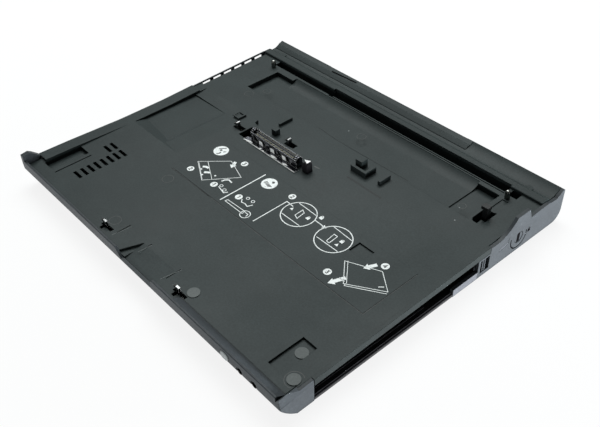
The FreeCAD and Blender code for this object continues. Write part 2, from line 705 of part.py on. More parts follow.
def cover_left():
    rim = rim_top()
    rim = rim.cut(box(WALL, RIM_W - WALL, HORN_L_Y + 4, RIM_Y1 - 2, -SPLIT - 1, -PLATE_T))
    return [rim]


def window_line(y):
    """Share of the way from the front to the rear end of the row of openings."""
    return (y - RIM_Y1) / (BAR_Y - RIM_Y1)


def trough_x(y):
    return TROUGH_F + (TROUGH_R - TROUGH_F) * window_line(y)


def window_top(y):
    return WIN_TOP_F + (WIN_TOP_R - WIN_TOP_F) * window_line(y)


def between(section, y0, y1):
    """Straight-sided solid between the same outline taken at two places along the case."""
    wires = []
    for y in (y0, y1):
        points = [V(x, y, w) for x, w in section(y)]
        wires.append(Part.makePolygon(points + points[:1]))
    return Part.makeLoft(wires, True, True)


def window_wall():
    y0 = RIM_Y1 + SEAM
    y1 = BAR_Y - SEAM
    low = -SPLIT - 0.5
    points = [(y0, low), (y0, window_top(RIM_Y1)), (y1, window_top(BAR_Y)), (y1, low)]
    return tray(prism_x(points, 0, WIN_T))


def trough(grow):
    x = WIN_T + grow
    y0 = WIN_Y0 - 1.0
    y1 = WIN_Y0 + (WIN_N - 1) * WIN_PITCH + WIN_L + 1.0
    return tray(between(lambda y: [(x, 1), (trough_x(y), 1), (trough_x(y), 0),
                                   (x, TROUGH_SLOPE * (x - trough_x(y)))], y0, y1))


def windows():
    x = WIN_T + 0.1
    cuts = []
    for i in range(WIN_N):
        y0 = WIN_Y0 + i * WIN_PITCH
        cuts.append(tray(between(lambda y: [(-1, window_top(y) - WIN_BAND), (x, window_top(y) - WIN_BAND),
                                            (x, TROUGH_SLOPE * (x - trough_x(y))),
                                            (-1, TROUGH_SLOPE * (-1 - trough_x(y)))], y0, y0 + WIN_L)))
    return cuts


def cover_posts():
    step = box(STEP_X, STEP_X + STEP_W, STEP_Y, STEP_Y + STEP_L, -1, STEP_H)
    inner_x = STEP_X + STEP_W - 2.2
    step = step.cut(box(STEP_X - 1, inner_x, STEP_Y + 2.0, STEP_Y + STEP_L + 1, 1.0, STEP_H + 1))
    tall = box(STEP_X + 0.6, STEP_X + 0.6 + STEP_POST, STEP_Y + 4, STEP_Y + 4 + STEP_POST, -1,
               STEP_H + STEP_POST_H)
    post = box(POST_X, POST_X + POST_SIZE, POST_Y, POST_Y + POST_SIZE, -1, POST_H)
    rib1 = box(RIB1_X, RIB1_X + RIB1_T, RIB1_Y, RIB1_Y + RIB1_L, -1, RIB1_H)
    rib2 = box(RIB2_X, RIB2_X + RIB2_T, RIB2_Y, RIB2_Y + RIB2_L, -1, RIB2_H)
    gusset_x1 = GUSSET_X + GUSSET_L
    gusset = prism_y([(GUSSET_X, -1), (GUSSET_X, 0), (gusset_x1, GUSSET_H), (gusset_x1, -1)],
                     GUSSET_Y, GUSSET_Y + 1.0)
    frame = box(FRAME_X, FRAME_X + FRAME_SIZE, FRAME_Y, FRAME_Y + FRAME_SIZE, -1, FRAME_H)
    far = FRAME_SIZE - 1.2
    frame = frame.cut(box(FRAME_X + 1.2, FRAME_X + far, FRAME_Y + 1.2, FRAME_Y + far, 0.5, FRAME_H + 1))
    return [step, tall, post, rib1, rib2, gusset, frame]


def cover_tubs():
    """Material under the plate for the pockets, the gap and the hook pit."""
    low = NOTCH_Z - TRAY_Z
    y0 = WALL + SEAM
    ramp = prism_x([(y0, -0.5), (y0, low - 0.3), (y0 + 3, low - 1.5), (y0 + NOTCH_RAMP + 2, -PLATE_T),
                    (y0 + NOTCH_RAMP + 2, -0.5)], NOTCH_X0 - 1, NOTCH_X1 + 1)
    return [
        ramp,
        box(RIM_W - WALL, LF_X1 + TUB_T, LF_Y0 - TUB_T, LF_Y1 + TUB_T, -LF_D - TUB_T, -1),
        box(RIM_W - WALL, HAND_X1, HAND_Y0, LEDGE_Y, -HAND_D - TUB_T, -1),
        box(POCKET_X0 - TUB_T, POCKET_X1 + TUB_T, POCKET_Y0 - TUB_T, POCKET_Y1 + 1, -POCKET_D - TUB_T, -1),
        box(POCKET2_X0 - TUB_T, POCKET_X1 + TUB_T, POCKET_Y0 - TUB_T, POCKET2_Y1 + TUB_T,
            -POCKET_D - POCKET2_D - TUB_T, -1),
        box(GAP_X0 - WALL, PIT_X1 + WALL, GAP_Y0 - GAP_WIDE - WALL, GAP_Y1 + WALL, -GAP_D - TUB_T, -1),
        box(RF_X0 - TUB_T, RF_X1 + TUB_T, RF_Y0 - RF_WALL, RF_Y1 + TUB_T, -RF_D - 1.2, -1),
        box(HOOK_PIT_X0 - TUB_T, HOOK_PIT_X1 + HOOK_PIT_WALL, HOOK_PIT_Y0 - TUB_T, HOOK_PIT_Y1 + TUB_T,
            -HOOK_PIT_D, -1),
    ]


def rear_bar():
    top = V(0, DEPTH - 0.8, REAR_Z)
    valley = V(0, BAR_VALLEY_Y, BAR_VALLEY_Z)
    mid = V(0, (BAR_VALLEY_Y + DEPTH) / 2, BAR_VALLEY_Z + 1.0)
    inside = DEPTH - WALL - SEAM
    line = [top, V(0, DEPTH, REAR_Z - 0.6), V(0, DEPTH, REAR_SPLIT_Z), V(0, inside, REAR_SPLIT_Z),
            V(0, inside, BAR_UNDER_Z), V(0, BAR_Y, BAR_UNDER_Z), V(0, BAR_Y, BAR_Z - 0.4),
            V(0, BAR_Y + 0.6, BAR_Z), V(0, BAR_Y + 5.5, BAR_Z), valley]
    edges = [Part.Arc(valley, mid, top).toShape()]
    edges += [Part.makeLine(a, b) for a, b in zip(line, line[1:])]
    bar = Part.Face(Part.Wire(edges)).extrude(V(RIGHT_IN - SEAM, 0, 0))
    strip = prism_x([(BAR_STRIP_Y, BAR_VALLEY_Z), (BAR_STRIP_Y, BAR_STRIP_Z), (DEPTH - 0.8, REAR_Z),
                     (DEPTH - 0.8, BAR_VALLEY_Z)], 0, BAR_STRIP_X)
    return bar.fuse(strip).cut(box(PORT_X0, PORT_X1, DEPTH - PORT_T, DEPTH + 1, PORT_Z0, HIGH))


def hand_pocket():
    across = prism_y([(RIM_W, 1), (RIM_W, -HAND_D), (HAND_X1 - 1, -HAND_STEP - 0.6), (HAND_X1, -HAND_STEP),
                      (HAND_X2, 0), (HAND_X2, 1)], HAND_Y0, HAND_Y1)
    along = prism_x([(HAND_Y0, 0), (HAND_Y0 + 10, -HAND_D), (HAND_Y1, -HAND_D), (HAND_Y1, 1), (HAND_Y0, 1)],
                    RIM_W, HAND_X2)
    ledge = prism_x([(HAND_Y1 - 0.1, -LEDGE_D), (LEDGE_Y, -LEDGE_D), (LEDGE_END, 0), (LEDGE_END, 1),
                     (HAND_Y1 - 0.1, 1)], RIM_W, LEDGE_X1)
    return [across.common(along), ledge]


def rear_pocket():
    middle = V(0, (POCKET_RAMP_Y + POCKET_Y1) / 2 + 1, -POCKET_D * 0.66)
    ramp = Part.Arc(V(0, POCKET_RAMP_Y, -POCKET_D), middle, V(0, POCKET_Y1, -0.3)).toShape()
    line = [V(0, POCKET_Y1, -0.3), V(0, POCKET_Y1, 1), V(0, POCKET_Y0, 1), V(0, POCKET_Y0, -POCKET_D),
            V(0, POCKET_RAMP_Y, -POCKET_D)]
    edges = [ramp] + [Part.makeLine(a, b) for a, b in zip(line, line[1:])]
    main = Part.Face(Part.Wire(edges)).extrude(V(POCKET2_X0 - POCKET_END_X, 0, 0))
    main.translate(V(POCKET_END_X, 0, 0))
    left = box(POCKET_X0, POCKET_END_X + 0.1, POCKET_Y0, POCKET_END_Y, -POCKET_D, 1)
    right = box(POCKET2_X0 - 0.1, POCKET_X1, POCKET_Y0, POCKET2_Y1, -POCKET_D - POCKET2_D, 1)
    return [main, left, right]


def gap_cuts():
    wide = box(GAP_X2, GAP_X1, GAP_Y0 - GAP_WIDE, GAP_Y1, -GAP_D, 4)
    ledge = box(GAP_X2 + 3, GAP_X1, GAP_Y0 + 0.6, GAP_Y0 + 1.5, -GAP_D, -0.8)
    return [box(GAP_X0, GAP_X2 + 0.1, GAP_Y0, BAR_Y, -GAP_D, 4), wide.cut(ledge),
            box(PIT_X0, PIT_X1, PIT_Y0, BAR_Y, -PIT_D, 4)]


def slots_for_hooks():
    reach = LATCH_TRAVEL + 1.0
    cuts = []
    for x in (FHOOK_XL, FHOOK_XR):
        y0 = FHOOK_Y - 0.6
        cuts.append(box(x - FHOOK_TIP - PLAY, x + FHOOK_W + reach, y0, y0 + FHOOK_T + 1.2, -3, 1))
        cuts.append(box(x - 0.5, x + 2.0, FHOOK_Y - 3.2, FHOOK_Y, -3, 1))
    for x, y in ((MHOOK_XL, MHOOK_YL), (MHOOK_XR, MHOOK_YR)):
        cuts.append(box(x - MHOOK_TIP, x + MHOOK_W + reach, y - 0.8, y + MHOOK_L + 0.8, -3, 1))
    cuts.append(box(WELL_X0, CON_X0 - SHIELD_SIDE, WELL_Y0, WELL_Y1, -3, 1))
    return cuts


def hook_pit():
    """Open pit with rounded front corners, and a shelf left standing in one of them."""
    r = HOOK_PIT_R
    low = -HOOK_PIT_D - 1
    pit = box(HOOK_PIT_X0, HOOK_PIT_X1, HOOK_PIT_Y0 + r, HOOK_PIT_Y1, low, 1)
    pit = pit.fuse(box(HOOK_PIT_X0 + r, HOOK_PIT_X1 - r, HOOK_PIT_Y0, HOOK_PIT_Y0 + r + 1, low, 1))
    for x in (HOOK_PIT_X0 + r, HOOK_PIT_X1 - r):
        pit = pit.fuse(rod_z(x, HOOK_PIT_Y0 + r, low, 1, r))
    shelf = box(SHELF_X, HOOK_PIT_X1 + 1, HOOK_PIT_Y0 - 1, SHELF_Y, -SHELF_D - SHELF_T, -SHELF_D)
    return pit.removeSplitter().cut(shelf)


def small_cuts():
    cuts = []
    for i in range(VENT_N):
        y = VENT_Y + i * VENT_PITCH - VENT_W / 2
        cuts.append(box(VENT_X, VENT_X + VENT_L, y, y + VENT_W, -3, 1))
        if i >= VENT_N - VENT2_N:
            cuts.append(box(VENT2_X, VENT2_X + VENT_L, y, y + VENT_W, -3, 1))
    cuts.append(box(LF_X0, LF_X1, LF_Y0, LF_Y1, -LF_D, RIM_H + 1))
    cuts.append(box(LF_X1 + 3, LF_X1 + 3.9, LF_Y0, LF_Y1, -0.7, 1))
    cuts.append(box(RF_X0, RF_X1, RF_Y0, RF_Y1, -RF_D, 1))
    cuts.append(box(SQUARE_X0, SQUARE_X1, SQUARE_Y0, SQUARE_Y1, -SQUARE_D, 1))
    side = SHIELD_SIDE + PLAY
    cuts.append(box(CON_X0 - side, CON_X1 + side, CON_Y0 - SHIELD_FRONT - 0.4, CON_Y1 + 1.2, -3, 1))
    half = GUIDE_SIZE / 2 + PLAY
    cuts.append(box(GUIDE_X - half, GUIDE_X + half, GUIDE_Y - half, GUIDE_Y + half, -3, 1))
    cuts.append(hook_pit())
    cuts.append(box(PIT_X0 + 0.5, PIT_X1 - 1.5, HOOK_PIT_Y1, PIN_Y - 3, -0.6, 1))
    for x in (105.5 * UX, 129.0 * UX, 158.5 * UX):
        cuts.append(box(x - 0.3, x + 0.3, FRONT_IN + 7, FRONT_IN + 17, -0.4, 1))
    cuts.append(box(DOCK_X - 18, PHONE_X + 8, LIP_SLOPE_D, RF_Y0 - RF_WALL, -3, -0.7))
    return cuts


def top_cover():
    flat = [cover_plate()] + cover_left() + cover_tubs() + cover_posts()
    flat.append(box(RIGHT_IN, WIDTH, CORNER_Y + SEAM, LATCH_Y1 - SEAM, -STRIP_DOWN, STRIP_UP))
    flat.append(box(LABEL_X0, LABEL_X1, LABEL_Y0, LABEL_Y1, -1, LABEL_H))
    level = fuse(flat)
    level = level.cut(box(-1, WIN_T + SEAM, RIM_Y1, BAR_Y, -20, 20))
    level = level.cut(box(-1, WIDTH + 1, -5, FRONT_IN, -20, 20))
    ramp_low = NOTCH_Z - TRAY_Z
    ramp = prism_x([(FRONT_IN - 1, ramp_low), (FRONT_IN, ramp_low), (FRONT_IN + NOTCH_RAMP, 0),
                    (FRONT_IN + NOTCH_RAMP, 1), (FRONT_IN - 1, 1)], NOTCH_X0 + NOTCH_LEAN, NOTCH_X1 - 1)
    foot = NOTCH_X0 + NOTCH_LEAN
    lean = prism_z([(foot, FRONT_IN - 1), (foot + 0.1, FRONT_IN + NOTCH_RAMP),
                    (foot - 0.5, FRONT_IN + NOTCH_RAMP), (NOTCH_X0 + 1, FRONT_IN - 1)], ramp_low * 0.55, 1)
    for cut in [ramp, lean] + hand_pocket() + rear_pocket() + slots_for_hooks() + small_cuts():
        level = level.cut(cut)
    cover = tray(level).cut(trough(SEAM)).fuse(rear_bar())
    for x, y in SCREWS:
        top = BAR_Z - 1.0 if y > BAR_Y else tray_z(y, -1.0)
        cover = cover.fuse(eight_sided(x, y, BOSS_Z, top, BOSS_R))
    for cut in gap_cuts():
        cover = cover.cut(tray(cut))
    for x, y in SCREWS:
        cover = cover.cut(eight_sided(x, y, BOSS_Z - 1, tray_z(y, -4.5), SCREW_BORE_R))
    return cover.removeSplitter()


# ---- docking connector and its surroundings ------------------------------------------------------
def dock_connector_housing():
    foot = box(CON_X0, CON_X1, CON_Y0, CON_Y1, MAIN_TOP, HIGH).cut(above_tray(-2.0))
    level = [box(CON_X0, CON_X1, CON_Y0, CON_Y1, -2.2, CON_H - 1.6)]
    mid = (CON_Y0 + CON_Y1) / 2
    level.append(box(CON_X0 + 1, CON_X1 - 1, mid - 0.7, mid + 0.7, -1, CON_H))
    return fuse([foot, tray(fuse(level))])


def dock_connector_shield():
    """Bright sheet round the housing: windowed front, plain rear, rounded end brackets, split flange."""
    x0 = CON_X0 - SHIELD_SIDE
    x1 = CON_X1 + SHIELD_SIDE
    y0 = CON_Y0 - SHIELD_FRONT
    y1 = CON_Y1 + SHIELD_REAR + SHIELD_T
    front = box(x0, x1, y0, y0 + SHIELD_T, 0, CON_H - 0.6)
    pitch = (CON_X1 - CON_X0) / SHIELD_WIN
    for i in range(SHIELD_WIN):
        x = CON_X0 + i * pitch + 1.0
        x2 = x + pitch * 0.55
        pts = [(x, 1.6), (x2, 1.6), (x2 - 2.2, CON_H - 1.8), (x - 1.2, CON_H - 1.8)]
        front = front.cut(prism_y(pts, y0 - 1, CON_Y0))
    rear = box(x0, x1, CON_Y1 + SHIELD_REAR, y1, 0, CON_H - 0.6)
    ends = []
    for a, b in ((x0, CON_X0 - 0.2), (CON_X1 + 0.2, x1)):
        r = (y1 - y0) / 2
        end = box(a, b, y0, y1, 0, SHIELD_H - r).fuse(rod_x(a, b, (y0 + y1) / 2, SHIELD_H - r, r))
        end = end.common(box(a, b, y0, y1, 0, SHIELD_H))
        ends.append(end.cut(box(a + 0.6, b - 0.6, y0 + 1.0, y1 - 1.0, 1.0, SHIELD_H + 1)))
    flange = box(FLANGE_X0, FLANGE_X1, FLANGE_Y, y0 + SHIELD_T, 0, 0.5)
    step = (FLANGE_X1 - FLANGE_X0) / SHIELD_WIN
    for i in range(1, SHIELD_WIN):
        x = FLANGE_X0 + i * step
        flange = flange.cut(box(x - 0.7, x + 0.7, FLANGE_Y - 1, y0 - 0.6, -1, 1))
    return tray(fuse([front, rear, flange] + ends))


def dock_connector_contacts():
    rows = []
    pitch = (CON_X1 - CON_X0 - 4) / CONTACT_N
    mid = (CON_Y0 + CON_Y1) / 2
    for y0 in (mid - 1.7, mid + 0.7):
        row = box(CON_X0 + 2, CON_X1 - 2, y0, y0 + 1.0, CON_H - 1.6, CON_H - 0.9)
        rows.append(row)
    for i in range(1, CONTACT_N):
        x = CON_X0 + 2 + i * pitch
        groove = box(x - pitch * 0.22, x + pitch * 0.22, CON_Y0, CON_Y1, CON_H - 1.3, CON_H)
        rows = [row.cut(groove) for row in rows]
    return tray(Part.makeCompound(rows))


def connector_carrier():
    """Frame under the tray that holds the connector, with the guide post at its right-hand end."""
    w1 = -PLATE_T
    w0 = w1 - CARRIER_T
    half = GUIDE_SIZE / 2
    x0 = CON_X0 - SHIELD_SIDE - 1.0
    plate = box(x0, GUIDE_X + half + 1, CON_Y0 - CARRIER_EDGE, CON_Y1 + CARRIER_EDGE, w0, w1)
    plate = plate.cut(box(CON_X0 - 0.2, CON_X1 + 0.2, CON_Y0 - 0.2, CON_Y1 + 0.2, w0 - 1, w1 + 1))
    post = box(GUIDE_X - half, GUIDE_X + half, GUIDE_Y - half, GUIDE_Y + half, w0, GUIDE_H)
    roof = prism_y([(GUIDE_X - half - 1, GUIDE_H + 1), (GUIDE_X - half - 1, GUIDE_H - 3), (GUIDE_X, GUIDE_H),
                    (GUIDE_X + half + 1, GUIDE_H - 3), (GUIDE_X + half + 1, GUIDE_H + 1)],
                   GUIDE_Y - half - 1, GUIDE_Y + half + 1)
    seats = [box(a, a + SHIELD_SIDE - 0.4, CON_Y0 - SHIELD_FRONT, CON_Y1 + 0.8, w1 - 0.2, 0)
             for a in (CON_X0 - SHIELD_SIDE, CON_X1 + 0.4)]
    return tray(fuse([plate, post.cut(roof)] + seats))


def locating_pin(x):
    """Turned pin with a tip rounded off in three cones."""
    low = PIN_H - PIN_R
    profile = [V(0, 0, 0), V(PIN_R, 0, 0)]
    for turn in (0, 30, 60):
        a = math.radians(turn)
        profile.append(V(PIN_R * math.cos(a), 0, low + PIN_R * math.sin(a)))
    profile += [V(0, 0, PIN_H), V(0, 0, 0)]
    edges = [Part.makeLine(a, b) for a, b in zip(profile, profile[1:])]
    pin = Part.Face(Part.Wire(edges)).revolve(V(0, 0, 0), V(0, 0, 1), 360)
    pin.translate(V(x, PIN_Y, 0))
    return tray(pin)


def tray_pads():
    return tray(Part.makeCompound([rod_z(x, y, w, w + PAD_T, PAD_R) for x, y, w in PADS]))


# ---- undocking latch -----------------------------------------------------------------------------
def latch_frame():
    w0 = SHEET_W0
    w1 = SHEET_W1
    arm = box(ARM_X0, ARM_X1, BAR_Y0, BRANCH_Y0 + BRANCH_W, w0, w1)
    bar = box(ARM_X0, FHOOK_XR + FHOOK_W + 2, BAR_Y0, BAR_Y0 + BAR_W, w0, w1)
    parts = [arm, bar]
    for x in (FHOOK_XL, FHOOK_XR):
        parts.append(box(x - 1, x + FHOOK_W + 1, FHOOK_Y - 0.5, BAR_Y0 + 1, w0, w1))
    parts.append(box(ARM_X0, MHOOK_XR + MHOOK_W + 1, BRANCH_Y0, BRANCH_Y0 + BRANCH_W, w0, w1))
    parts.append(box(LEFT_T + 1, ARM_X0 + 1, BUTTON_Y - ROD_W / 2, BUTTON_Y + ROD_W / 2, w0, w1))
    return tray(fuse(parts))


def front_hook(x):
    stem = box(x, x + FHOOK_W, FHOOK_Y, FHOOK_Y + FHOOK_T, SHEET_W1, FHOOK_H)
    nose = prism_y([(x + 0.1, FHOOK_H), (x - FHOOK_TIP, FHOOK_H - 0.8), (x - FHOOK_TIP, FHOOK_H - 1.6),
                    (x + 0.1, FHOOK_H - 1.8)], FHOOK_Y, FHOOK_Y + FHOOK_T)
    return tray(fuse([stem, nose]))


def middle_hook(x, y):
    """Bent sheet hook: upright stem and a rounded nose that points to the left."""
    stem = box(x, x + MHOOK_W, y, y + MHOOK_L, SHEET_W1, MHOOK_H - MHOOK_W / 2)
    head = rod_y(x + MHOOK_W / 2, y, y + MHOOK_L, MHOOK_H - MHOOK_W / 2, MHOOK_W / 2)
    tip = x - MHOOK_TIP
    nose = prism_y([(x + MHOOK_W / 2, MHOOK_H), (tip, MHOOK_H - 1.4), (tip, MHOOK_H - 2.0),
                    (x + 0.2, MHOOK_H - 2.2)], y, y + MHOOK_L)
    return tray(fuse([stem, head, nose]))


def undock_button():
    y0 = BUTTON_Y - BUTTON_L / 2
    y1 = BUTTON_Y + BUTTON_L / 2
    cap = box(0, LEFT_T + 1.5, y0, y1, BUTTON_Z0, BUTTON_Z1).cut(left_draft(0.3))
    stem = box(LEFT_T + 0.5, LEFT_T + 4, BUTTON_Y - ROD_W / 2, BUTTON_Y + ROD_W / 2, BUTTON_Z0 + 1, HIGH)
    stem = stem.cut(above_tray(SHEET_W0))
    return fuse([cap, stem])


def latch_spring():
    """Extension spring between the post on the floor and the latch arm, drawn as a flat zigzag of wire."""
    x1 = ARM_X0 - PLAY
    x0 = x1 - SPRING_L
    z = tray_z(SPRING_Y, SHEET_W0 + SHEET_T / 2)
    pitch = SPRING_L / SPRING_TURNS
    side = [(x0, z - SPRING_R)]
    for i in range(SPRING_TURNS):
        side += [(x0 + (i + 0.5) * pitch, z + SPRING_R), (x0 + (i + 1) * pitch, z - SPRING_R)]
    t = SPRING_WIRE
    return prism_y(side + [(x, z1 + 2 * t) for x, z1 in reversed(side)], SPRING_Y - t, SPRING_Y + t)


# ---- lock and rear hook --------------------------------------------------------------------------
def lock_tang(grow):
    x1 = WIDTH - 0.2 - LOCK_L
    half = TANG / 2 + grow
    return box(x1 - LOCK_CRANK_T - grow, x1, LOCK_Y - half, LOCK_Y + half, LOCK_Z - half, LOCK_Z + half)


def lock_cylinder():
    """Keyed core with a square tang at its inner end."""
    x1 = WIDTH - 0.2
    core = rod_x(x1 - LOCK_L, x1, LOCK_Y, LOCK_Z, LOCK_R)
    w = KEY_W / 2
    h = KEY_H / 2
    key = box(x1 - KEY_D, x1 + 1, LOCK_Y - w, LOCK_Y + w, LOCK_Z - h, LOCK_Z + h)
    return fuse([core, lock_tang(0.0)]).cut(key)


def lock_crank():
    """Disc on the tang, with the pin that moves the rear hook."""
    x1 = WIDTH - 0.2 - LOCK_L
    disc = rod_x(x1 - LOCK_CRANK_T, x1, LOCK_Y, LOCK_Z, LOCK_CRANK_R)
    pin = rod_x(x1 - LOCK_CRANK_T - CRANK_PIN_L, x1 - 1, LOCK_Y - CRANK_OFF, LOCK_Z + CRANK_OFF, CRANK_PIN_R)
    return fuse([disc, pin]).cut(lock_tang(TANG_FIT))


def lock_housing():
    x0 = WIDTH - 0.2 - LOCK_L + PLAY
    half = LOCK_R + 2.2
    block = box(x0, RIGHT_IN, LOCK_Y - half, LOCK_Y + half, FLOOR_Z, LOCK_Z + half)
    return block.cut(rod_x(x0 - 1, RIGHT_IN + 1, LOCK_Y, LOCK_Z, LOCK_R + PLAY))


def rear_hook():
    post = box(HOOK_X, HOOK_X + HOOK_SIZE, HOOK_Y, HOOK_Y + HOOK_SIZE, SLIDER_Z, HIGH)
    top = tray_z(HOOK_Y, HOOK_H)
    post = post.cut(box(0, WIDTH, 0, DEPTH, top, HIGH + 1))
    h = HOOK_HEAD
    head = box(HOOK_X - HOOK_HEAD_L, HOOK_X + HOOK_SIZE + h, HOOK_Y - h, HOOK_Y + HOOK_SIZE + h,
               top - HOOK_HEAD_H, top)
    head = head.cut(box(HOOK_X + 0.8, HOOK_X + HOOK_SIZE - 0.8, HOOK_Y + 0.8, HOOK_Y + HOOK_SIZE - 0.8,
                        top - 0.8, top + 1))
    lock_x0 = WIDTH - 0.2 - LOCK_L - LOCK_CRANK_T
    x1 = lock_x0 - 2 * PLAY
    x0 = x1 - SLIDER_T
    pin_y = LOCK_Y - CRANK_OFF
    foot = box(HOOK_X, x1, HOOK_Y, pin_y + 4, SLIDER_Z, SLIDER_Z + SLIDER_T)
    plate = box(x0, x1, pin_y - 4, pin_y + 4, SLIDER_Z, LOCK_Z + SLIDER_TOP)
    reach = CRANK_PIN_R + PLAY
    high = CRANK_OFF * math.sqrt(2)
    slot = box(x0 - 1, x1 + 1, pin_y - reach, pin_y + reach, LOCK_Z + CRANK_OFF - reach,
               LOCK_Z + high + reach)
    return fuse([post, head, foot, plate]).cut(slot)


# ---- front controls ------------------------------------------------------------------------------
def front_board_z():
    return JACK_Z - JACK_R - BOARD_T


def dock_button():
    cap = button_shape(0, -DOCK_PROUD, LIP_T)
    cap = cap.makeChamfer(0.4, [e for e in cap.Edges if e.BoundBox.YMax < -DOCK_PROUD + 0.01])
    z1 = JACK_Z + JACK_R - 0.3
    z0 = DOCK_Z - DOCK_H / 2 + 0.5
    stem = box(DOCK_X - 2.6, DOCK_X + 2.6, LIP_T - 0.2, LIP_T + 0.8, z0, z1)
    flange = box(DOCK_X - 5, DOCK_X + 5, LIP_T + 0.6, LIP_T + 1.4, z0, z1)
    return fuse([cap, stem, flange])


def dock_switch():
    y0 = LIP_T + 1.4 + DOCK_TRAVEL + 0.2
    z0 = front_board_z() + BOARD_T
    block = box(DOCK_X - 3, DOCK_X + 3, y0 + 0.6, y0 + 4.0, z0, z0 + 4)
    nub = rod_y(DOCK_X, y0, y0 + 0.8, z0 + 2.2, 1.2)
    return fuse([block, nub])


def jack(x):
    z0 = front_board_z() + BOARD_T
    y1 = LIP_T + JACK_SET
    body = box(x - 3.6, x + 3.6, y1, y1 + JACK_L, z0, JACK_Z + JACK_R)
    neck = rod_y(x, 0.3, y1 + 0.1, JACK_Z, JACK_R)
    bore = rod_y(x, 0, y1 + JACK_L - 1, JACK_Z, JACK_BORE_R)
    return fuse([body, neck]).cut(bore)


def front_board():
    z0 = front_board_z()
    return box(DOCK_X - 17, PHONE_X + 7, LIP_T + 3.6, LIP_T + 15, z0, z0 + BOARD_T)


# ---- drive bay -----------------------------------------------------------------------------------
def bay_cage():
    """Thin sheet lining with a floor, four walls but the open right-hand one, and a roof."""
    y0 = BAY_Y0 + CAGE_GAP
    y1 = BAY_Y1 - CAGE_GAP
    x1 = RIGHT_IN - PLAY
    roof = above_tray(-STRIP_DOWN + CAGE_T)
    outer = box(CAGE_X0, x1, y0, y1, FLOOR_Z, HIGH).cut(roof)
    inner = box(CAGE_X0 + CAGE_T, x1 + 1, y0 + CAGE_T, y1 - CAGE_T, FLOOR_Z + CAGE_T, HIGH)
    cage = outer.cut(inner.cut(above_tray(-STRIP_DOWN)))
    front = box(x1 - CAGE_T, x1, y0, BAY_LIP_Y - CAGE_GAP, BASE_Z + 0.2, FLOOR_Z + CAGE_T)
    parts = [cage, front]
    for i in range(BEAD_N):
        x = x1 - 1.4 - i * BEAD_PITCH
        parts.append(box(x - BEAD_W, x, y0 + CAGE_T, BAY_LIP_Y - 20, FLOOR_Z + CAGE_T - 0.1,
                         FLOOR_Z + CAGE_T + BEAD_H))
    cage = fuse(parts)
    nose = box(NOSE_X - 0.5, NOSE_X + NOSE_W + 0.5, y1 - 2, y1 + 1, NOSE_Z0 - 0.5, NOSE_Z0 + NOSE_H + 0.5)
    return cage.cut(nose)


def bay_connector():
    x0 = CAGE_X0 + CAGE_T
    y1 = BAY_Y1 - BAYCON_END
    y0 = y1 - BAYCON_L
    z0 = FLOOR_Z + CAGE_T
    side = (BAYCON_H - BAYCON_SLOT) / 2
    block = box(x0, x0 + BAYCON_T, y0, y1, z0, z0 + BAYCON_H)
    return block.cut(box(x0 + side, x0 + BAYCON_T + 1, y0 + 2, y1 - 2, z0 + side, z0 + side + BAYCON_SLOT))


def bay_latch():
    y1 = GRIP_Y0 + GRIP_W
    x_in = RIGHT_IN - 1.3
    grip = box(x_in, WIDTH - 0.4, GRIP_Y0, y1, LATCH_WIN_Z0 + PLAY, LATCH_WIN_Z1 - PLAY)
    grip = grip.cut(box(WIDTH - 0.8, WIDTH, GRIP_Y0 + 0.9, y1 - 0.9, LATCH_WIN_Z0 + 1, LATCH_WIN_Z1 - 1))
    plate = box(NOSE_X, x_in + 0.1, GRIP_Y0, y1, NOSE_Z0 - 1, NOSE_Z0 + NOSE_H + 1)
    tip = BAY_Y1 - CAGE_GAP - CAGE_T - NOSE_REACH
    nose = prism_z([(NOSE_X, tip), (NOSE_X + NOSE_W * 0.4, tip), (NOSE_X + NOSE_W, tip + 1.2),
                    (NOSE_X + NOSE_W, GRIP_Y0 + 0.1), (NOSE_X, GRIP_Y0 + 0.1)], NOSE_Z0, NOSE_Z0 + NOSE_H)
    return fuse([grip, plate, nose])


# ---- boards, ports and fixings -------------------------------------------------------------------
def main_board():
    front = box(MAIN_X0, MAIN_X1, MAIN_Y0, MAIN_Y1 + 1, MAIN_Z, MAIN_TOP)
    rear = box(MAIN_REAR_X0, MAIN_REAR_X1, MAIN_Y1, DEPTH - WALL - 3, MAIN_Z, MAIN_TOP)
    board = fuse([front, rear])
    for x, y in SCREWS:
        board = board.cut(rod_z(x, y, MAIN_Z - 1, MAIN_TOP + 1, BOSS_R + 1.2))
    return board


def port_box(x0, x1, height):
    return box(x0, x1, PORT_Y0, DEPTH - 0.3, MAIN_TOP, MAIN_TOP + height)


def dc_inlet():
    body = port_box(DC_X - 4.5, DC_X + 4.5, 10.0)
    z = MAIN_TOP + 5.0
    body = body.cut(rod_y(DC_X, DEPTH - 9, DEPTH + 1, z, 2.8))
    return fuse([body, rod_y(DC_X, DEPTH - 10, DEPTH - 1.5, z, 1.0)])


def ethernet_port():
    body = port_box(LAN_X, LAN_X + LAN_W, LAN_H)
    hole = box(LAN_X + 2, LAN_X + LAN_W - 2, DEPTH - 12, DEPTH + 1, MAIN_TOP + 3, MAIN_TOP + LAN_H - 2)
    notch = box(LAN_X + 5, LAN_X + LAN_W - 5, DEPTH - 12, DEPTH + 1, MAIN_TOP + 1, MAIN_TOP + 4)
    return body.cut(hole).cut(notch)


def usb_ports():
    ports = []
    for i in range(USB_N):
        x = USB_X + i * USB_PITCH
        body = port_box(x, x + USB_W, USB_H)
        mouth = box(x + 0.6, x + USB_W - 0.6, DEPTH - 12, DEPTH + 1, MAIN_TOP + 0.6, MAIN_TOP + USB_H - 0.6)
        body = body.cut(mouth)
        tongue = box(x + 1.4, x + USB_W - 1.4, DEPTH - 12.5, DEPTH - 2, MAIN_TOP + 3.4, MAIN_TOP + 5.2)
        ports.append(fuse([body, tongue]))
    return Part.makeCompound(ports)


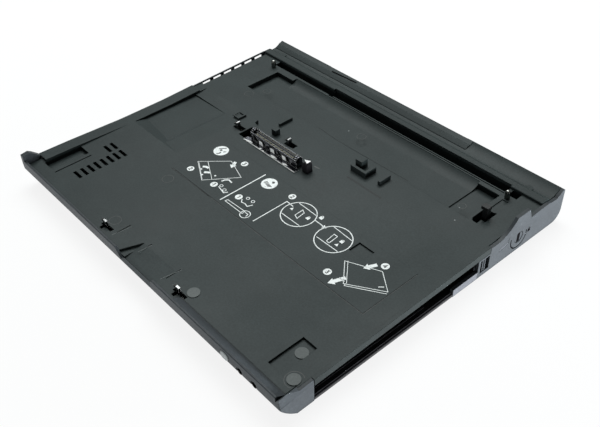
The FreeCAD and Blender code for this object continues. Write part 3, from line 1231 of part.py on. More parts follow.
def vga_port():
    body = port_box(VGA_X, VGA_X + VGA_W, VGA_H)
    z0 = MAIN_TOP + 1.6
    z1 = MAIN_TOP + VGA_H - 1.6
    mid = VGA_X + VGA_W / 2
    shell = prism_y([(mid - 7.4, z0), (mid + 7.4, z0), (mid + 8.6, z1), (mid - 8.6, z1)],
                    DEPTH - 6, DEPTH + 1)
    z2 = z0 + 0.7
    z3 = z1 - 0.7
    points = [(mid - 6.6, z2), (mid + 6.6, z2), (mid + 7.6, z3), (mid - 7.6, z3)]
    core = prism_y(points, DEPTH - 6.5, DEPTH - 1)
    body = fuse([body.cut(shell), core])
    for x in (VGA_X + 3, VGA_X + VGA_W - 3):
        body = body.cut(rod_y(x, DEPTH - 5, DEPTH + 1, (z0 + z1) / 2, 1.4))
    return body


def rear_port_plate():
    y0 = DEPTH - PORT_T
    plate = box(PORT_X0 + 0.1, PORT_X1 - 0.1, y0, DEPTH, PORT_Z0 + 0.1, REAR_Z - 0.8)
    c = 0.3
    cuts = [box(DC_X - 4.5 - c, DC_X + 4.5 + c, y0 - 1, DEPTH + 1, MAIN_TOP - c, MAIN_TOP + 10.0 + c),
            box(LAN_X - c, LAN_X + LAN_W + c, y0 - 1, DEPTH + 1, MAIN_TOP - c, MAIN_TOP + LAN_H + c),
            box(VGA_X - c, VGA_X + VGA_W + c, y0 - 1, DEPTH + 1, MAIN_TOP - c, MAIN_TOP + VGA_H + c)]
    for i in range(USB_N):
        x = USB_X + i * USB_PITCH
        cuts.append(box(x - c, x + USB_W + c, y0 - 1, DEPTH + 1, MAIN_TOP - c, MAIN_TOP + USB_H + c))
    for cut in cuts:
        plate = plate.cut(cut)
    return plate


def case_screws():
    screws = []
    for x, y in SCREWS:
        head = rod_z(x, y, FLOOR_Z - HEAD_T, FLOOR_Z, HEAD_R)
        screws.append(fuse([head, eight_sided(x, y, FLOOR_Z - 0.1, tray_z(y, -5.0), SHANK_R)]))
    return Part.makeCompound(screws)


def rubber_feet():
    return Part.makeCompound([rod_z(x, y, 0, BASE_Z + FOOT_SEAT, FOOT_R) for x, y in feet_spots()])


PIECES = {
    "base_shell": base_shell,
    "base_posts": base_posts,
    "top_cover": top_cover,
    "rear_port_plate": rear_port_plate,
    "dock_connector_housing": dock_connector_housing,
    "dock_connector_shield": dock_connector_shield,
    "dock_connector_contacts": dock_connector_contacts,
    "connector_carrier": connector_carrier,
    "locating_pin_left": lambda: locating_pin(PIN_LEFT_X),
    "locating_pin_right": lambda: locating_pin(WIDTH - PIN_INSET),
    "tray_pads": tray_pads,
    "latch_frame": latch_frame,
    "front_hook_left": lambda: front_hook(FHOOK_XL),
    "front_hook_right": lambda: front_hook(FHOOK_XR),
    "middle_hook_left": lambda: middle_hook(MHOOK_XL, MHOOK_YL),
    "middle_hook_right": lambda: middle_hook(MHOOK_XR, MHOOK_YR),
    "undock_button": undock_button,
    "latch_spring": latch_spring,
    "lock_cylinder": lock_cylinder,
    "lock_crank": lock_crank,
    "lock_housing": lock_housing,
    "rear_hook": rear_hook,
    "dock_button": dock_button,
    "dock_switch": dock_switch,
    "microphone_jack": lambda: jack(MIC_X),
    "headphone_jack": lambda: jack(PHONE_X),
    "front_board": front_board,
    "bay_cage": bay_cage,
    "bay_connector": bay_connector,
    "bay_latch": bay_latch,
    "main_board": main_board,
    "dc_inlet": dc_inlet,
    "ethernet_port": ethernet_port,
    "usb_ports": usb_ports,
    "vga_port": vga_port,
    "case_screws": case_screws,
    "rubber_feet": rubber_feet,
}

for name, make in PIECES.items():
    piece = make()
    piece.translate(V(-WIDTH / 2, (DOCK_PROUD - DEPTH) / 2, 0))
    piece.exportStep("parts/" + name + ".step")
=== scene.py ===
import bmesh
import bpy
import json
import math
from mathutils import Matrix, Vector


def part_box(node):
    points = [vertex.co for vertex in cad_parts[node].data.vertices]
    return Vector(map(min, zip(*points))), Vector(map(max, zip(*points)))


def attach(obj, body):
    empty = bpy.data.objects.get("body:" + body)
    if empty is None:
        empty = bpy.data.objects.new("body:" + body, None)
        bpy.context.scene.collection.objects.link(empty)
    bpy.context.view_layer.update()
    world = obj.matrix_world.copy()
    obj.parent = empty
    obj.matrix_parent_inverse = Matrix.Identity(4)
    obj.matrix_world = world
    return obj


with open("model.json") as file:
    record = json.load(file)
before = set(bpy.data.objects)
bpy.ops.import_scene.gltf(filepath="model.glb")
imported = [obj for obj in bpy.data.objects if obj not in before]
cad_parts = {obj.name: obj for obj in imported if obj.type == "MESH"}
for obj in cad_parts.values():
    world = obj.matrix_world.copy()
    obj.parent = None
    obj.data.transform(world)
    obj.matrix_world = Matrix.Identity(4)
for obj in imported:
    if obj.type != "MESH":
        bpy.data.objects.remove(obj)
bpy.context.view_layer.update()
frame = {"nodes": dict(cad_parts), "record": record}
MM = 0.001

# ---------------------------------------------------------------- places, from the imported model
CASE_DEPTH = 231       # mm, without the front button, which stands proud of the front face
TRAY_RISE = 0.0178     # the tray climbs this many mm per mm towards the rear
TRAY_Z = 16.07         # mm, the tray's height at the front face
PANEL = 0.2            # mm, the printed panel stands this far above the tray
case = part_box("base_shell")
X0 = case[0].x
X1 = case[1].x
Y0 = case[1].y - CASE_DEPTH * MM
Y1 = case[1].y
TILT = math.atan(TRAY_RISE)
WIDTH = (X1 - X0) / MM     # mm
DEPTH = (Y1 - Y0) / MM


def corner(x, y, z):
    """A point in mm from the left front corner of the case, above the table."""
    return Vector((X0 + x * MM, Y0 + y * MM, z * MM))


def tray(x, y, w=0.0):
    """A point on the tray, w mm above its surface."""
    c, s = math.cos(TILT), math.sin(TILT)
    return corner(x, y * c - w * s, TRAY_Z + y * s + w * c)


def front_face(x, z, w=0.0):
    """A point on the front face, w mm in front of it."""
    return corner(x, -w, z)


def right_wall(y, z, w=0.0):
    """A point on the right-hand wall, w mm outside it."""
    return corner(WIDTH + w, y, z)


def rear_face(x, z, w=0.0):
    """A point on the rear face, w mm behind it; x still counts from the left front corner."""
    return corner(x, DEPTH + w, z)


def mm_box(node):
    """The low and high corners of a node's box, in mm from the left front corner."""
    return [((v.x - X0) / MM, (v.y - Y0) / MM, v.z / MM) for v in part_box(node)]


# ---------------------------------------------------------------- shader nodes
def add_node(owner, kind, values=None):
    """A new node in a material or world, with constant values on its inputs."""
    node = owner.node_tree.nodes.new(kind)
    for socket, value in (values or {}).items():
        node.inputs[socket].default_value = value
    return node


def link(owner, a, b):
    owner.node_tree.links.new(a, b)


def start_tree(owner, output):
    """Empty the node tree of a material or world, and give it its output node."""
    owner.use_nodes = True
    owner.node_tree.nodes.clear()
    return add_node(owner, output)


def new_material(name):
    mat = bpy.data.materials.new(name)
    out = start_tree(mat, "ShaderNodeOutputMaterial")
    bsdf = add_node(mat, "ShaderNodeBsdfPrincipled")
    link(mat, bsdf.outputs[0], out.inputs[0])
    return mat, bsdf


def noise(mat, scale, detail=3.0, rough=0.5, stretch=None):
    source = add_node(mat, "ShaderNodeTexCoord").outputs["Object"]
    tex = add_node(mat, "ShaderNodeTexNoise",
                   {"Scale": scale, "Detail": detail, "Roughness": rough})
    if stretch:
        mapping = add_node(mat, "ShaderNodeMapping", {"Scale": stretch})
        link(mat, source, mapping.inputs[0])
        source = mapping.outputs[0]
    link(mat, source, tex.inputs["Vector"])
    return tex.outputs["Fac"]


def ramp(mat, source, stops):
    """A colour ramp; each stop is (position, colour)."""
    node = add_node(mat, "ShaderNodeValToRGB")
    el = node.color_ramp.elements
    while len(el) < len(stops):
        el.new(0.5)
    for e, (pos, col) in zip(el, stops):
        e.position = pos
        e.color = (*col, 1.0)
    link(mat, source, node.inputs[0])
    return node.outputs[0]


def grey(v):
    return (v, v, v)


def spread(mat, source, low, high):
    """Noise keeps to its middle range, so this gives it the whole way from low to high."""
    return ramp(mat, source, [(0.3, low), (0.7, high)])


def mix_colour(mat, kind, factor, a, b):
    """factor is a number or an output, a is an output, b is an output or a plain colour."""
    node = add_node(mat, "ShaderNodeMix")
    node.data_type = "RGBA"
    node.blend_type = kind
    factor_in, a_in, b_in = node.inputs[0], node.inputs[6], node.inputs[7]
    if isinstance(factor, float):
        factor_in.default_value = factor
    else:
        link(mat, factor, factor_in)
    link(mat, a, a_in)
    if isinstance(b, tuple):
        b_in.default_value = (*b, 1.0)
    else:
        link(mat, b, b_in)
    return node.outputs[2]


def multiply(mat, a, b):
    return mix_colour(mat, "MULTIPLY", 1.0, a, b)


def lighten(mat, a, b):
    return mix_colour(mat, "LIGHTEN", 1.0, a, b)


def rounded_edges(mat, radius):
    """Normals softened along the edges, and a mask that is white on them."""
    bevel = add_node(mat, "ShaderNodeBevel", {"Radius": radius})
    bevel.samples = 4
    geo = add_node(mat, "ShaderNodeNewGeometry")
    dot = add_node(mat, "ShaderNodeVectorMath")
    dot.operation = "DOT_PRODUCT"
    link(mat, bevel.outputs[0], dot.inputs[0])
    link(mat, geo.outputs["True Normal"], dot.inputs[1])
    mask = ramp(mat, dot.outputs["Value"], [(0.80, grey(1.0)), (0.97, grey(0.0))])
    return bevel.outputs[0], mask


def painted_crevice_shade(mat, reach, low):
    """Painted shade: white in the open, down to low in corners and gaps narrower than reach
    metres.
    """
    node = add_node(mat, "ShaderNodeAmbientOcclusion", {"Distance": reach})
    node.samples = 6
    return ramp(mat, node.outputs["AO"], [(0.30, grey(low)), (0.92, grey(1.0))])


def bump(mat, bsdf, layers, start=None):
    """Bump nodes in a row; each layer is (height, strength, distance in metres)."""
    last = start
    for height, strength, distance in layers:
        node = add_node(mat, "ShaderNodeBump", {"Strength": strength, "Distance": distance})
        link(mat, height, node.inputs["Height"])
        if last is not None:
            link(mat, last, node.inputs["Normal"])
        last = node.outputs[0]
    link(mat, last, bsdf.inputs["Normal"])


# ramps over the distance from the middle of the case, in metres, for upright_shade's painted shade
SIDE_WALLS = [(0.128, grey(0.0)), (0.130, grey(0.52))]
END_WALLS = [(0.106, grey(0.0)), (0.109, grey(1.0))]
UPRIGHT = 0.45         # a face whose normal's z is under this counts as upright
LEVEL = 0.8            # and over this as level


def upright_shade(mat, low):
    """Painted shade: low on upright faces inside the case's outline, half on its sides, white
    elsewhere.
    """
    def by_size(source, axis, stops):
        """A ramp over the size of one axis of a vector, whichever way it points."""
        split = add_node(mat, "ShaderNodeSeparateXYZ")
        link(mat, source, split.inputs[0])
        size = add_node(mat, "ShaderNodeMath")
        size.operation = "ABSOLUTE"
        link(mat, split.outputs[axis], size.inputs[0])
        return ramp(mat, size.outputs[0], stops)

    place = add_node(mat, "ShaderNodeTexCoord").outputs["Object"]
    normal = add_node(mat, "ShaderNodeNewGeometry").outputs["True Normal"]
    shade = by_size(normal, 2, [(UPRIGHT, grey(low)), (LEVEL, grey(1.0))])
    outer_x = by_size(place, 0, SIDE_WALLS)
    outer_y = by_size(place, 1, END_WALLS)
    return lighten(mat, lighten(mat, shade, outer_x), outer_y)


# ---------------------------------------------------------------- materials
# noise scales, which grow as the pattern gets finer
CLOUDS, SPECKS, RUBS, SHEEN, WAVES, SPARKS = 26.0, 900.0, 160.0, 14.0, 60.0, 2600.0
SCRATCHES = 400.0
FADING = 700.0
EDGE = 0.00035         # metres, how far a moulding's edge is rounded and worn
FINE = 0.00002         # metres, the depth of a smooth surface's grain


def plastic(name, colour, rough=(0.42, 0.56), spec=0.5, grain=0.00006, var=0.10, wear=1.5,
            corner_shade=0.45, reach=0.004, upright=None):
    """Spark-eroded moulding: fine grain, mottling, edges lighter as wear and painted highlight,
    painted shade in corners and on upright faces, uneven gloss.
    """
    mat, bsdf = new_material(name)
    low = tuple(c * (1 - var) for c in colour)
    high = tuple(min(1.0, c * (1 + var)) for c in colour)
    cloud = ramp(mat, noise(mat, CLOUDS, 5.0, 0.6), [(0.36, low), (0.64, high)])
    speck = spread(mat, noise(mat, SPECKS, 2.0), grey(0.86), grey(1.14))
    base = multiply(mat, cloud, speck)
    normal, edge = rounded_edges(mat, EDGE)
    # edges lighter in patches: part rubbed wear, part a painted highlight where edges catch the
    # light
    patchy = ramp(mat, noise(mat, RUBS, 3.0), [(0.35, grey(0.15)), (0.65, grey(1.0))])
    worn = multiply(mat, edge, patchy)
    bright = tuple(min(1.0, c * wear + 0.004) for c in colour)
    base = mix_colour(mat, "MIX", worn, base, bright)
    # painted shade: darker in corners and gaps, found by ambient occlusion
    if corner_shade < 1.0:
        base = multiply(mat, base, painted_crevice_shade(mat, reach, corner_shade))
    # painted shade on upright faces
    if upright:
        base = multiply(mat, base, upright_shade(mat, upright))
    link(mat, base, bsdf.inputs["Base Color"])
    gloss = spread(mat, noise(mat, SHEEN, 5.0), grey(rough[0]), grey(rough[1]))
    link(mat, gloss, bsdf.inputs["Roughness"])
    bsdf.inputs["Specular IOR Level"].default_value = spec
    waves = noise(mat, WAVES, 2.0)
    sparks = noise(mat, SPARKS, 2.0)
    bump(mat, bsdf, [(waves, 0.08, 0.0004), (sparks, 0.35, grain)], normal)
    return mat


TARNISH = 0.75         # how much of a metal's colour its dull patches keep


def metal(name, colour, rough=(0.2, 0.35), brushed=None, edges=None, radius=0.0002):
    """Plated metal: cloudy tarnish, fine scratches, and near-white edges, part rubbed metal and
    part painted highlight.
    """
    mat, bsdf = new_material(name)
    tex = noise(mat, SCRATCHES, 4.0, stretch=brushed)
    base = spread(mat, tex, tuple(c * TARNISH for c in colour), colour)
    normal, edge = rounded_edges(mat, radius)
    bsdf.inputs["Metallic"].default_value = 1.0
    if edges:
        base = mix_colour(mat, "MIX", edge, base, edges)
        # painted highlight: the edges' near-white is less metallic, so it stays bright under any
        # light
        less_on_edges = ramp(mat, edge, [(0.0, grey(1.0)), (1.0, grey(0.3))])
        link(mat, less_on_edges, bsdf.inputs["Metallic"])
    link(mat, base, bsdf.inputs["Base Color"])
    link(mat, spread(mat, tex, grey(rough[0]), grey(rough[1])), bsdf.inputs["Roughness"])
    bump(mat, bsdf, [(tex, 0.15, FINE)], normal)
    return mat


def ink(name, colour, faded, rough=0.5):
    """Screen print: patches worn thin, with a slightly raised, broken surface."""
    mat, bsdf = new_material(name)
    wear = noise(mat, FADING, 4.0, 0.65)
    link(mat, ramp(mat, wear, [(0.30, faded), (0.46, colour)]), bsdf.inputs["Base Color"])
    gloss = ramp(mat, wear, [(0.3, grey(rough + 0.1)), (0.6, grey(rough))])
    link(mat, gloss, bsdf.inputs["Roughness"])
    bump(mat, bsdf, [(wear, 0.2, FINE)])
    return mat


def board_material(name):
    """Circuit board: blocks of copper under green lacquer, with lighter tracks between."""
    mat, bsdf = new_material(name)
    source = add_node(mat, "ShaderNodeTexCoord").outputs["Object"]
    brick = add_node(mat, "ShaderNodeTexBrick", {
        "Scale": 260.0, "Mortar Size": 0.03, "Color1": (0.006, 0.035, 0.018, 1),
        "Color2": (0.008, 0.042, 0.021, 1), "Mortar": (0.014, 0.07, 0.035, 1)})
    link(mat, source, brick.inputs["Vector"])
    link(mat, brick.outputs["Color"], bsdf.inputs["Base Color"])
    link(mat, spread(mat, noise(mat, 90.0), grey(0.25), grey(0.4)), bsdf.inputs["Roughness"])
    bump(mat, bsdf, [(brick.outputs["Fac"], 0.3, 0.00004)])
    return mat


# near-white edges: part rubbed plating, part painted highlight
RUBBED_AND_LIT = (0.95, 0.95, 0.93)        # the colour of plated metal's edges
MATS = {
    "case_plastic": plastic("case_plastic", (0.036, 0.041, 0.045), spec=0.22),
    "black_plastic": plastic("black_plastic", (0.009, 0.009, 0.010), rough=(0.35, 0.5), spec=0.25),
    "sheet_black": plastic("sheet_black", (0.010, 0.010, 0.011), rough=(0.35, 0.5), grain=FINE,
                           wear=5.0),
    "steel": metal("steel", (0.66, 0.65, 0.62), brushed=(1, 12, 12), edges=(0.85, 0.85, 0.83)),
    "bright_metal": metal("bright_metal", (0.16, 0.16, 0.18), rough=(0.12, 0.24), edges=RUBBED_AND_LIT,
                          radius=0.0003),
    "contact_gold": metal("contact_gold", (0.22, 0.20, 0.15), rough=(0.3, 0.4)),
    "spring_steel": metal("spring_steel", (0.5, 0.5, 0.5)),
    "lock_metal": plastic("lock_metal", (0.05, 0.05, 0.055), rough=(0.3, 0.42), grain=FINE,
                          wear=2.5),
    "board_green": board_material("board_green"),
    "key_grey": plastic("key_grey", (0.20, 0.215, 0.215), rough=(0.3, 0.4), grain=0.00003,
                        var=0.04, wear=1.1),
    "pad_grey": plastic("pad_grey", (0.064, 0.074, 0.072), rough=(0.5, 0.65), grain=0.00004,
                        corner_shade=0.8),
    "foot_rubber": plastic("foot_rubber", (0.02, 0.02, 0.02), rough=(0.6, 0.8)),
}
# painted shade on the tray's upright faces and in its corners
TRAY_MAT = plastic("tray_plastic", (0.0280, 0.0362, 0.0362), spec=0.17, reach=0.006, corner_shade=0.85,
                   upright=0.5)
HOOK_MAT = metal("hook_steel", (0.28, 0.28, 0.28), rough=(0.22, 0.34), edges=RUBBED_AND_LIT)
PIN_MAT = metal("pin_steel", (0.30, 0.30, 0.28), rough=(0.12, 0.2))
# its high wear gives the rear hook lighter edges, part wear and part painted highlight
POST_MAT = plastic("post_black", (0.006, 0.0065, 0.0065), rough=(0.3, 0.4), spec=0.2, grain=FINE,
                   wear=8.0)
# near-black: painted shade in the key slot, the lock's groove and the rear bar's slit, and the
# lock icon's ink
BLACK_SHADE_AND_INK = plastic("black_shade_and_ink", (0.003, 0.003, 0.0035), rough=(0.8, 0.95), spec=0.05, wear=1.0)
# pale lavender grey: the bay's low wall, and a painted highlight in the finger grip
LIP_MAT = plastic("lip_grey", (0.085, 0.090, 0.100), spec=0.3, corner_shade=1.0)
# a lighter copy of the tray plastic: painted light on the thumb ramp, which faces away from the
# lamps
RAMP_LIT_MAT = plastic("ramp_painted_light", (0.035, 0.043, 0.043), spec=0.2, corner_shade=1.0)
# dark grey: painted shade in the lip's seam and along the tray's low steps
SEAM_SHADE = plastic("painted_seam_shade", (0.016, 0.019, 0.019), spec=0.2, corner_shade=1.0)
WHITE_INK = ink("white_ink", (0.88, 0.90, 0.89), (0.45, 0.47, 0.46))
DARK_INK = ink("dark_ink", (0.022, 0.024, 0.024), (0.04, 0.045, 0.043))
# dark grey for moulding rings, and painted shade along the panel's edge and in a slit
SHADE = plastic("dark_mark_and_painted_shade", (0.030, 0.033, 0.032), corner_shade=1.0)
# pale grey: painted highlights along edges
PAINTED_EDGE_LIGHT = plastic("painted_edge_highlight", (0.11, 0.12, 0.118), corner_shade=1.0)
# near-white: tinned springs, with painted reflections and glints
TINNED_AND_GLINT = plastic("tinned_and_painted_glint", (0.86, 0.86, 0.84), rough=(0.25, 0.35), spec=0.8, grain=FINE,
                 var=0.05, wear=1.0, corner_shade=1.0)

# nodes whose look differs from the rest of their slot
SPECIAL = {
    "top_cover": TRAY_MAT, "rear_hook": POST_MAT, "lock_cylinder": MATS["case_plastic"],
    "locating_pin_left": PIN_MAT, "locating_pin_right": PIN_MAT,
}
SPECIAL.update({name: HOOK_MAT for name in frame["nodes"] if "_hook_" in name})
slot_of = {s["node"]: s["material_slot"] for s in frame["record"]["subparts"]}
for name, obj in frame["nodes"].items():
    obj.data.materials.clear()
    obj.data.materials.append(SPECIAL.get(name) or MATS[slot_of[name]])


# ---------------------------------------------------------------- flat shapes: (points, faces)
# All sizes are in mm, and the faces run counter-clockwise.
SHARPEST = 0.35        # keeps the mitres of sharp corners short


def disc(x, y, r, n=28):
    turns = [2 * math.pi * i / n for i in range(n)]
    return [(x + r * math.cos(t), y + r * math.sin(t)) for t in turns], [tuple(range(n))]


def area_of(pts):
    return sum(a[0] * b[1] - b[0] * a[1] for a, b in zip(pts, pts[1:] + pts[:1])) / 2


def poly(*pts):
    pts = list(pts)
    if area_of(pts) < 0:
        pts.reverse()
    return pts, [tuple(range(len(pts)))]


def rect(x0, y0, x1, y1):
    return poly((x0, y0), (x1, y0), (x1, y1), (x0, y1))


def ribbon(pts, width, closed=False):
    """A line of even width with mitred corners."""
    pts = [Vector(p) for p in pts]
    n = len(pts)
    left, right = [], []
    for i, p in enumerate(pts):
        before = pts[i - 1] if (i or closed) else None
        after = pts[(i + 1) % n] if (i < n - 1 or closed) else None
        dirs = []
        if before is not None:
            dirs.append((p - before).normalized())
        if after is not None:
            dirs.append((after - p).normalized())
        normals = [Vector((-d.y, d.x)) for d in dirs]
        mitre = sum(normals, Vector((0, 0))).normalized()
        reach = width / 2 / max(SHARPEST, mitre.dot(normals[0]))
        left.append(tuple(p + mitre * reach))
        right.append(tuple(p - mitre * reach))
    faces = []
    for i in range(n if closed else n - 1):
        j = (i + 1) % n
        faces.append((n + i, n + j, j, i))
    return left + right, faces


def arc(x, y, r, a0, a1, n=16):
    """Points from angle a0 to a1 in degrees."""
    step = math.radians(a1 - a0) / n
    angles = [math.radians(a0) + i * step for i in range(n + 1)]
    return [(x + r * math.cos(a), y + r * math.sin(a)) for a in angles]


def ring(x, y, r, width, n=40):
    return ribbon(arc(x, y, r, 0, 360 - 360 / n, n - 1), width, True)


def arrow(x0, y0, x1, y1, shaft, head, length):
    """shaft and head are widths, length is the head's."""
    a, b = Vector((x0, y0)), Vector((x1, y1))
    d = (b - a).normalized()
    s = Vector((-d.y, d.x))
    neck = b - d * length
    pts = [a - s * shaft / 2, neck - s * shaft / 2, neck - s * head / 2, b,
           neck + s * head / 2, neck + s * shaft / 2, a + s * shaft / 2]
    return poly(*[tuple(p) for p in pts])


def padlock(x, y, size):
    body = rect(x - size * 0.5, y - size * 0.7, x + size * 0.5, y + size * 0.1)
    return [body, ribbon(arc(x, y + size * 0.1, size * 0.33, 0, 180, 10), size * 0.18)]


# ---------------------------------------------------------------- thin closed plates
ROOT = -0.05           # mm, how deep most plates start under the surface that they mark


def add_plate(bm, shape, place, low, high):
    pts, faces = shape
    bottom = [bm.verts.new(place(u, v, low)) for u, v in pts]
    top = [bm.verts.new(place(u, v, high)) for u, v in pts]
    edges = set()
    for f in faces:
        bm.faces.new([top[i] for i in f])
        bm.faces.new([bottom[i] for i in reversed(f)])
        edges.update((a, b) for a, b in zip(f, f[1:] + f[:1]))
    for a, b in edges:
        if (b, a) not in edges:
            bm.faces.new([bottom[a], bottom[b], top[b], top[a]])


def bridge(bm, ring_a, ring_b):
    """Faces between two rings of as many points."""
    for i in range(len(ring_a)):
        j = (i + 1) % len(ring_a)
        bm.faces.new([ring_a[i], ring_a[j], ring_b[j], ring_b[i]])


def finish_piece(name, bm, mat, body="case"):
    mesh = bpy.data.meshes.new(name)
    bmesh.ops.recalc_face_normals(bm, faces=bm.faces)
    bm.to_mesh(mesh)
    bm.free()
    mesh.materials.append(mat)
    obj = bpy.data.objects.new(name, mesh)
    bpy.context.scene.collection.objects.link(obj)
    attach(obj, body)


def plates(name, shapes, place, low, high, mat, body="case"):
    """One piece made of flat shapes, from low to high mm above the surface that place gives."""
    bm = bmesh.new()
    for shape in shapes:
        add_plate(bm, shape, place, low, high)
    finish_piece(name, bm, mat, body)


def run_along(name, profile, place, start, end, mat):
    """A closed profile drawn out from start to end."""
    bm = bmesh.new()
    ends = [[bm.verts.new(place(t, u, v)) for u, v in profile] for t in (start, end)]
    bm.faces.new(ends[0])
    bm.faces.new(list(reversed(ends[1])))
    bridge(bm, *ends)
    finish_piece(name, bm, mat)


# ---------------------------------------------------------------- print on the tray's panel
def laptop_one():
    return [
        ribbon([(81.5, 86.7), (97.0, 102.9), (115.4, 96.7), (99.8, 76.5)], 0.36, True),
        ribbon([(86.0, 91.6), (103.5, 81.9)], 0.36),
        ribbon([(83.0, 86.5), (99.0, 77.4)], 0.3),
        arrow(99.6, 104.4, 102.9, 98.2, 2.2, 4.8, 3.4),
        ribbon([(88.4, 85.6), (90.0, 87.0), (92.6, 87.5)], 1.9),
        ribbon([(93.9, 82.6), (95.4, 83.8), (97.2, 85.3)], 1.9),
        ribbon([(89.4, 83.6), (90.6, 83.1)], 1.0),
        ribbon([(94.7, 80.5), (95.9, 80.0)], 1.0),
        disc(102.2, 85.6, 0.7),
        ribbon([(109.7, 85.1), (110.1, 87.4), (112.0, 89.4), (115.5, 88.9)], 1.0),
        ribbon([(112.7, 80.4), (116.0, 79.7), (120.2, 78.8), (121.5, 81.2)], 0.6),
        ring(113.4, 82.2, 1.1, 0.4, 16),
        ring(118.2, 80.9, 1.2, 0.4, 16),
    ]


def key_and_handle():
    return [
        ribbon([(124.1, 73.0), (124.2, 110.1)], 0.75),
        ribbon([(127.1, 74.7), (127.5, 76.6), (143.9, 77.3), (144.3, 74.8)], 0.45, True),
        ring(146.1, 75.6, 3.3, 0.5),
        ribbon([(144.6, 76.8), (147.4, 76.9), (147.9, 74.6)], 0.5),
        ribbon([(133.4, 83.3), (135.3, 81.3), (138.0, 82.0), (141.1, 81.2), (142.5, 84.7)], 0.6),
        ring(135.3, 86.6, 1.1, 0.45, 16),
        ring(140.0, 86.8, 1.1, 0.45, 16),
        ribbon([(154.4, 75.1), (154.6, 102.3), (160.9, 101.8)], 0.6),
    ]


def lock_dial(x, y, r, chords, slot, mark):
    u, v = mark
    return [ring(x, y, r, 0.6, 56), *[ribbon(c, 0.5) for c in chords], ribbon(slot, 0.5, True),
            poly((u - 1.2, v - 1.0), (u + 1.2, v - 1.0), (u, v + 1.3))]


def dials():
    one = lock_dial(
        168.9, 99.4, 11.3, [[(160.5, 92.6), (177.0, 92.7)], [(161.1, 106.7), (177.0, 106.3)]],
        [(167.8, 97.3), (167.6, 103.9), (170.2, 102.7), (171.0, 96.2)], (162.0, 100.0))
    two = lock_dial(
        199.9, 99.2, 11.5, [[(191.4, 93.6), (209.2, 93.7)], [(191.9, 107.0), (208.4, 106.1)]],
        [(198.0, 95.3), (197.0, 102.6), (199.9, 102.5), (200.5, 95.2)], (204.7, 97.5))
    link_arrow = [ribbon([(179.8, 102.9), (188.0, 102.7)], 0.6),
                  poly((187.2, 101.3), (190.0, 102.6), (187.2, 104.1))]
    locks = padlock(175.5, 101.5, 2.4) + padlock(204.9, 101.8, 2.4) + padlock(180.9, 107.7, 2.6)
    return one + two + link_arrow + locks


def laptop_two():
    return [
        ribbon([(217.6, 91.4), (238.4, 100.7), (251.3, 91.5), (230.1, 78.3)], 0.4, True),
        ribbon([(218.9, 92.7), (231.2, 79.6)], 0.35),
        ribbon([(231.3, 77.5), (252.0, 90.0)], 0.4),
        arrow(232.6, 102.4, 229.0, 94.8, 2.4, 5.0, 3.4),
        arrow(227.8, 82.4, 223.7, 72.2, 2.6, 5.2, 3.8),
        ribbon([(225.2, 80.0), (229.3, 79.7)], 0.9),
        ribbon([(245.1, 90.4), (247.3, 92.7)], 0.6),
        ribbon([(230.6, 79.2), (231.6, 77.8)], 0.5),
    ]


# strokes of each digit, from its middle
DIGITS = {
    1: [(-0.4, 0.9), (0.2, 1.35), (0.2, -1.35)],
    2: [(-0.8, 0.8), (-0.2, 1.3), (0.6, 1.1), (0.7, 0.4), (-0.8, -1.2), (0.9, -1.2)],
    3: [(-0.7, 1.2), (0.7, 1.2), (0.0, 0.2), (0.8, -0.3), (0.5, -1.1), (-0.2, -1.3), (-0.8, -0.9)],
    4: [(0.4, -1.35), (0.4, 1.35), (-0.9, -0.5), (1.0, -0.5)],
}
# x, y and digit of each numbered disc
NUMBERED = [(108.9, 79.6, 1), (84.6, 78.5, 2), (105.5, 107.4, 3), (130.1, 83.3, 1),
            (153.4, 107.7, 2), (217.2, 78.3, 3), (236.5, 104.9, 4)]


def discs():
    large = [disc(82.7, 105.2, 5.3, 40), disc(133.1, 105.8, 5.4, 40)]
    return large + [disc(x, y, 2.5) for x, y, _ in NUMBERED]


def marks_on_discs():
    parts = [ribbon([(83.0, 100.9), (84.3, 102.5), (83.6, 104.2)], 0.9),
             ribbon([(79.9, 105.4), (83.0, 109.6)], 0.9), disc(82.3, 105.6, 0.9),
             ribbon([(84.9, 105.2), (86.2, 107.0)], 0.7), disc(134.3, 108.3, 1.0)]
    for i in range(5):
        t = i / 4.0
        bar = [(129.6 + 4.6 * t, 104.1 - 0.9 * t), (130.9 + 5.8 * t, 106.4 - 1.7 * t)]
        parts.append(ribbon(bar, 0.75))
    for x, y, n in NUMBERED:
        parts.append(ribbon([(x + u, y + v) for u, v in DIGITS[n]], 0.6))
    return parts


def make_print():
    lines = laptop_one() + key_and_handle() + dials() + laptop_two()
    plates("panel_print", lines + discs(), tray, PANEL - 0.02, PANEL + 0.03, WHITE_INK)
    plates("panel_print_marks", marks_on_discs(), tray, PANEL, PANEL + 0.05, DARK_INK)
    # painted shadow along the raised panel's front and right edges
    edge = [ribbon([(75.0, 70.2), (253.3, 70.2), (253.3, 113.0)], 0.5),
            ribbon([(75.0, 70.3), (118.0, 70.3)], 0.9)]
    plates("panel_edge_shadow", edge, tray, ROOT, 0.03, SHADE)


